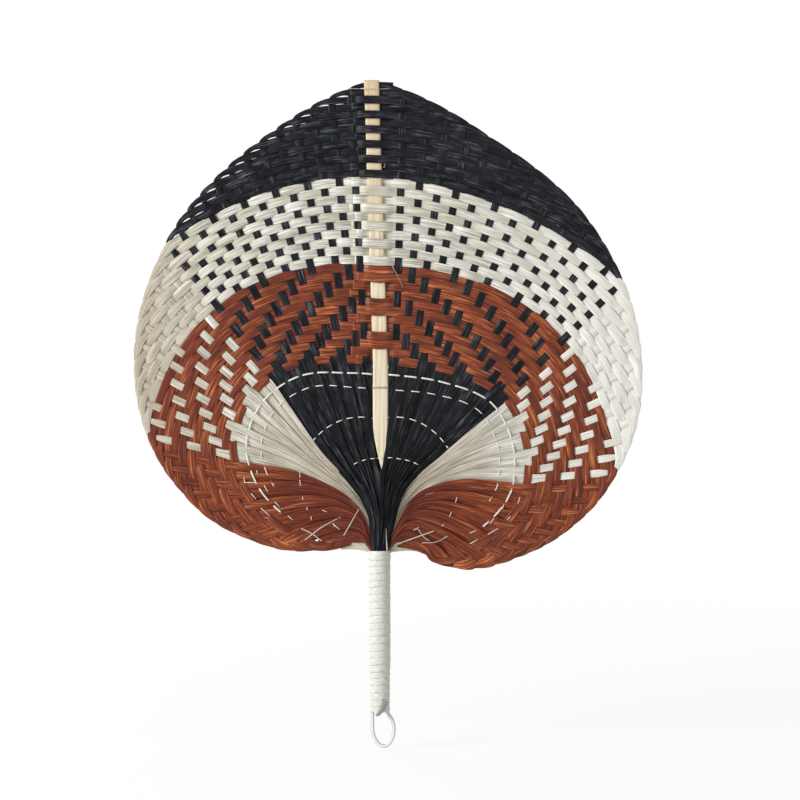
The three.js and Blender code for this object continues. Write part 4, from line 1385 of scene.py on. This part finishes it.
@dataclass
class PaleEnds:
    """Bare strips at the foot of each lobe, and the thin strands that lie loose in the weave."""

    LEFT_ENDS = ((340, 531), (341, 538), (333, 541.5), (341, 547.5))
    DOUBLED = {Side.LEFT: (((350, 541), (337, 545), (322, 547), (308, 545)),),
               Side.RIGHT: (((398, 543), (414, 546), (431, 552.5), (446, 559)),
                            ((424, 546), (441, 552), (456, 558), (474, 561)))}
    RIGHT_ENDS = ((425, 541), (431, 544), (428, 548), (433, 551))
    STRANDS = (((395, 545), (414, 538), (434, 531)), ((413.5, 530.4), (418.8, 527.3)),
               ((305, 540), (322, 527), (341, 517)), ((300, 528), (311, 533), (322, 541)),
               ((343.8, 535.7), (351, 523), (359, 509)), ((422, 543), (436, 542), (448, 536)),
               ((418, 529), (424, 537), (430, 541)), ((333.4, 524), (340, 529.6)))
    FIBRES = (((383, 252), (390, 262), (397, 275), (403, 287)), ((384, 168), (385.5, 163.5)),
              ((348, 88.6), (360, 89.2), (380, 89.4), (391, 88.4)))
    SLIVERS = (((386.2, 528), (386.6, 539), (387.4, 551)),)

    def foot(self, ends: Sequence[tuple[float, float]], side: Side) -> list[Tube]:
        """Return flat strips that leave the handle together and fan out to their ends."""
        bands, share = [], np.linspace(0, 1, 34)
        for index, end in enumerate(ends):
            tip = from_picture([end], 0.9 + 0.3 * index)[0]
            start = np.array([side.value * 5.2, 0.4 + 0.3 * index, 44.0])
            up = start + [side.value * (0.4 + 0.1 * index), 0, 8.5 - 1.6 * index]
            pull = np.array([side.value * 11.0, tip[1], (tip[2] + 50.0) / 2 + 0.6])
            path = bezier([start, up, pull, tip], share)
            width = np.interp(share, (0, 1), (1.7, 2.7 + side.value * -0.4))
            bands.append(band_rings(path, *facing(path, smoothstep(share, 0.1, 0.6), side.value),
                                    width, 0.28, 0.08))
        return bands

    def loose(self) -> list[Tube]:
        """Return the strands, bowed a little, the round fibres and the slivers, in this order."""
        tubes = []
        for strand in self.STRANDS:
            path = traced(strand, -1.35)
            path[:, 1] += 0.5 * np.linspace(-1, 1, len(path)) ** 2
            tubes.append(front_band(path, 0.6, 0.2, 0.04))
        for fibre in self.FIBRES:
            path = traced(fibre, -1.75)
            path[:, 1] -= 0.5 * np.sin(np.linspace(0, math.pi, len(path)))
            thick = np.interp(np.arange(len(path)), (0, len(path)), (0.2, 0.11))
            tubes.append(round_rings(path, thick, 7))
        for sliver in self.SLIVERS:
            path = traced(sliver, -6.2)
            tubes.append(front_band(path, np.linspace(0.25, 0.9, len(path)), 0.2, 0.04))
        return tubes

    def dress(self) -> list[bpy.types.Object]:
        """Make the bare strips in place of their solids, and the loose strands and fibres."""
        finish, made = NATURAL_STRIP.make(), []
        for side, ends in ((Side.LEFT, self.LEFT_ENDS), (Side.RIGHT, self.RIGHT_ENDS)):
            name = f"pale_strip_{side.name.lower()}"
            piece = make_piece(f"{name}_fanned", self.foot(ends, side), finish,
                               np.arange(4) + 200.0)
            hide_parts(name)
            made.append(piece)
        rust = RUST_STRIP.make()
        for side, routes in self.DOUBLED.items():
            for number, route in enumerate(routes):
                path = traced(route, 0.75 + 0.3 * number)
                made.append(make_piece(f"doubled_strip_{side.name.lower()}_{number + 1}",
                                       [front_band(path, 5.0, 0.3, 0.06)], rust))
        tubes = self.loose()
        made.append(make_piece("loose_strands", tubes, finish,
                               np.arange(len(tubes)) + 300.0))
        for piece in made:
            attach(piece, "fan")
        return made


@dataclass
class Studio:
    """A pale floor, a white surround and soft lamps, and the camera straight in front."""

    picture_width: float = 0.4706  # metres across the picture at the blade
    centre_x: float = 0.0118
    centre_z: float = 0.1358
    lens: float = 100.0            # mm, a long lens
    floor_height: float = -0.0698
    floor_reach: float = 4.0

    def camera(self) -> None:
        """Place the camera straight in front: its distance is width * lens / sensor."""
        data = bpy.data.cameras.new("camera")
        data.lens, data.sensor_width = self.lens, 36.0
        data.clip_start, data.clip_end = 0.05, 50.0
        camera = bpy.data.objects.new("camera", data)
        bpy.context.collection.objects.link(camera)
        distance = self.picture_width * self.lens / data.sensor_width
        camera.location = (self.centre_x, -distance, self.centre_z)
        camera.rotation_euler = (math.pi / 2, 0.0, 0.0)
        bpy.context.scene.camera = camera

    def lamp(self, name: str, place: tuple[float, float, float], size: float, watts: float) -> None:
        """Add a square area lamp that faces the middle of the blade."""
        data = bpy.data.lights.new(name, "AREA")
        data.size, data.energy = size, watts
        lamp = bpy.data.objects.new(name, data)
        bpy.context.collection.objects.link(lamp)
        lamp.location = place
        aim = np.array([self.centre_x, 0.0, self.centre_z]) - np.array(place)
        turn = math.atan2(-aim[0], aim[1])
        tip = math.acos(-aim[2] / np.linalg.norm(aim))
        lamp.rotation_euler = (tip, 0.0, turn)

    def surround(self) -> None:
        """Make the world: white where it is seen or mirrored, and a plain soft light elsewhere."""
        world = bpy.data.worlds.new("studio")
        nodes = Shading(world)
        rays = add_node(nodes.tree, "LightPath", {}).outputs
        seen = nodes.math("MAXIMUM", rays["Is Camera Ray"], rays["Is Glossy Ray"])
        shown = nodes.math("MAXIMUM", seen, rays["Is Transmission Ray"])
        light = nodes.add("Background", {"Color": linear("#FFFFFF"),
                                         "Strength": nodes.remap(shown, 0.0, 1.0, 0.28, 1.0)})
        add_node(nodes.tree, "OutputWorld", {"Surface": light})
        bpy.context.scene.world = world

    def floor(self) -> None:
        """Lay the floor: it takes the shadow near the object and fades to white further off."""
        reach, z = self.floor_reach, self.floor_height
        mesh = bpy.data.meshes.new("floor")
        mesh.from_pydata([(-reach, -reach, z), (reach, -reach, z), (reach, reach, z),
                          (-reach, reach, z)], [], [(0, 1, 2, 3)])
        material = bpy.data.materials.new("pale floor")
        nodes = Shading(material)
        matt = nodes.add("BsdfDiffuse", {"Color": linear("#F4F4F2")})
        glow = nodes.add("Emission", {"Color": linear("#FFFFFF"), "Strength": 1.0})
        where = nodes.add("TexCoord", {}, "Object")
        away = nodes.add("VectorMath", {0: where}, "Value", operation="LENGTH")
        white = nodes.remap(away, 0.15, 1.1, 0.84, 1.0)
        seen = nodes.add("LightPath", {}, "Is Camera Ray")
        both = nodes.add("MixShader", {0: nodes.math("MULTIPLY", seen, white), 1: matt, 2: glow})
        add_node(nodes.tree, "OutputMaterial", {"Surface": both})
        mesh.materials.append(material)
        floor = bpy.data.objects.new("floor", mesh)
        bpy.context.collection.objects.link(floor)

    def light(self) -> None:
        """Hang the lamps: a soft key from the upper left, and three weaker ones round it."""
        self.lamp("key", (-1.3, -0.85, 0.75), 0.7, 28.0)
        self.lamp("front", (0.5, -1.25, 0.3), 0.9, 2.5)
        self.lamp("above", (0.1, 0.1, 1.3), 0.8, 1.5)
        self.lamp("behind", (-0.8, 1.2, 0.6), 0.9, 14.0)


def main() -> None:
    """Build the fan and its studio."""
    logging.basicConfig(level=logging.INFO, format="%(name)s: %(message)s")
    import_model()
    scene = bpy.context.scene
    scene.view_settings.view_transform = "Standard"
    studio = Studio()
    studio.camera()
    plan, sizes = WeavePlan(), SpineSizes()
    blade = WovenBlade(plan, sizes)
    pieces = [HangingLoop().dress(), *blade.dress(), CaneSpine(sizes, plan).dress(),
              *WoundHandle().dress(), *Stitching(blade, sizes).dress(), *PaleEnds().dress()]
    studio.surround()
    studio.floor()
    studio.light()
    for piece in pieces:
        LOG.info("%s: %d faces", piece.name, len(piece.data.polygons))


if __name__ == "__main__":
    main()
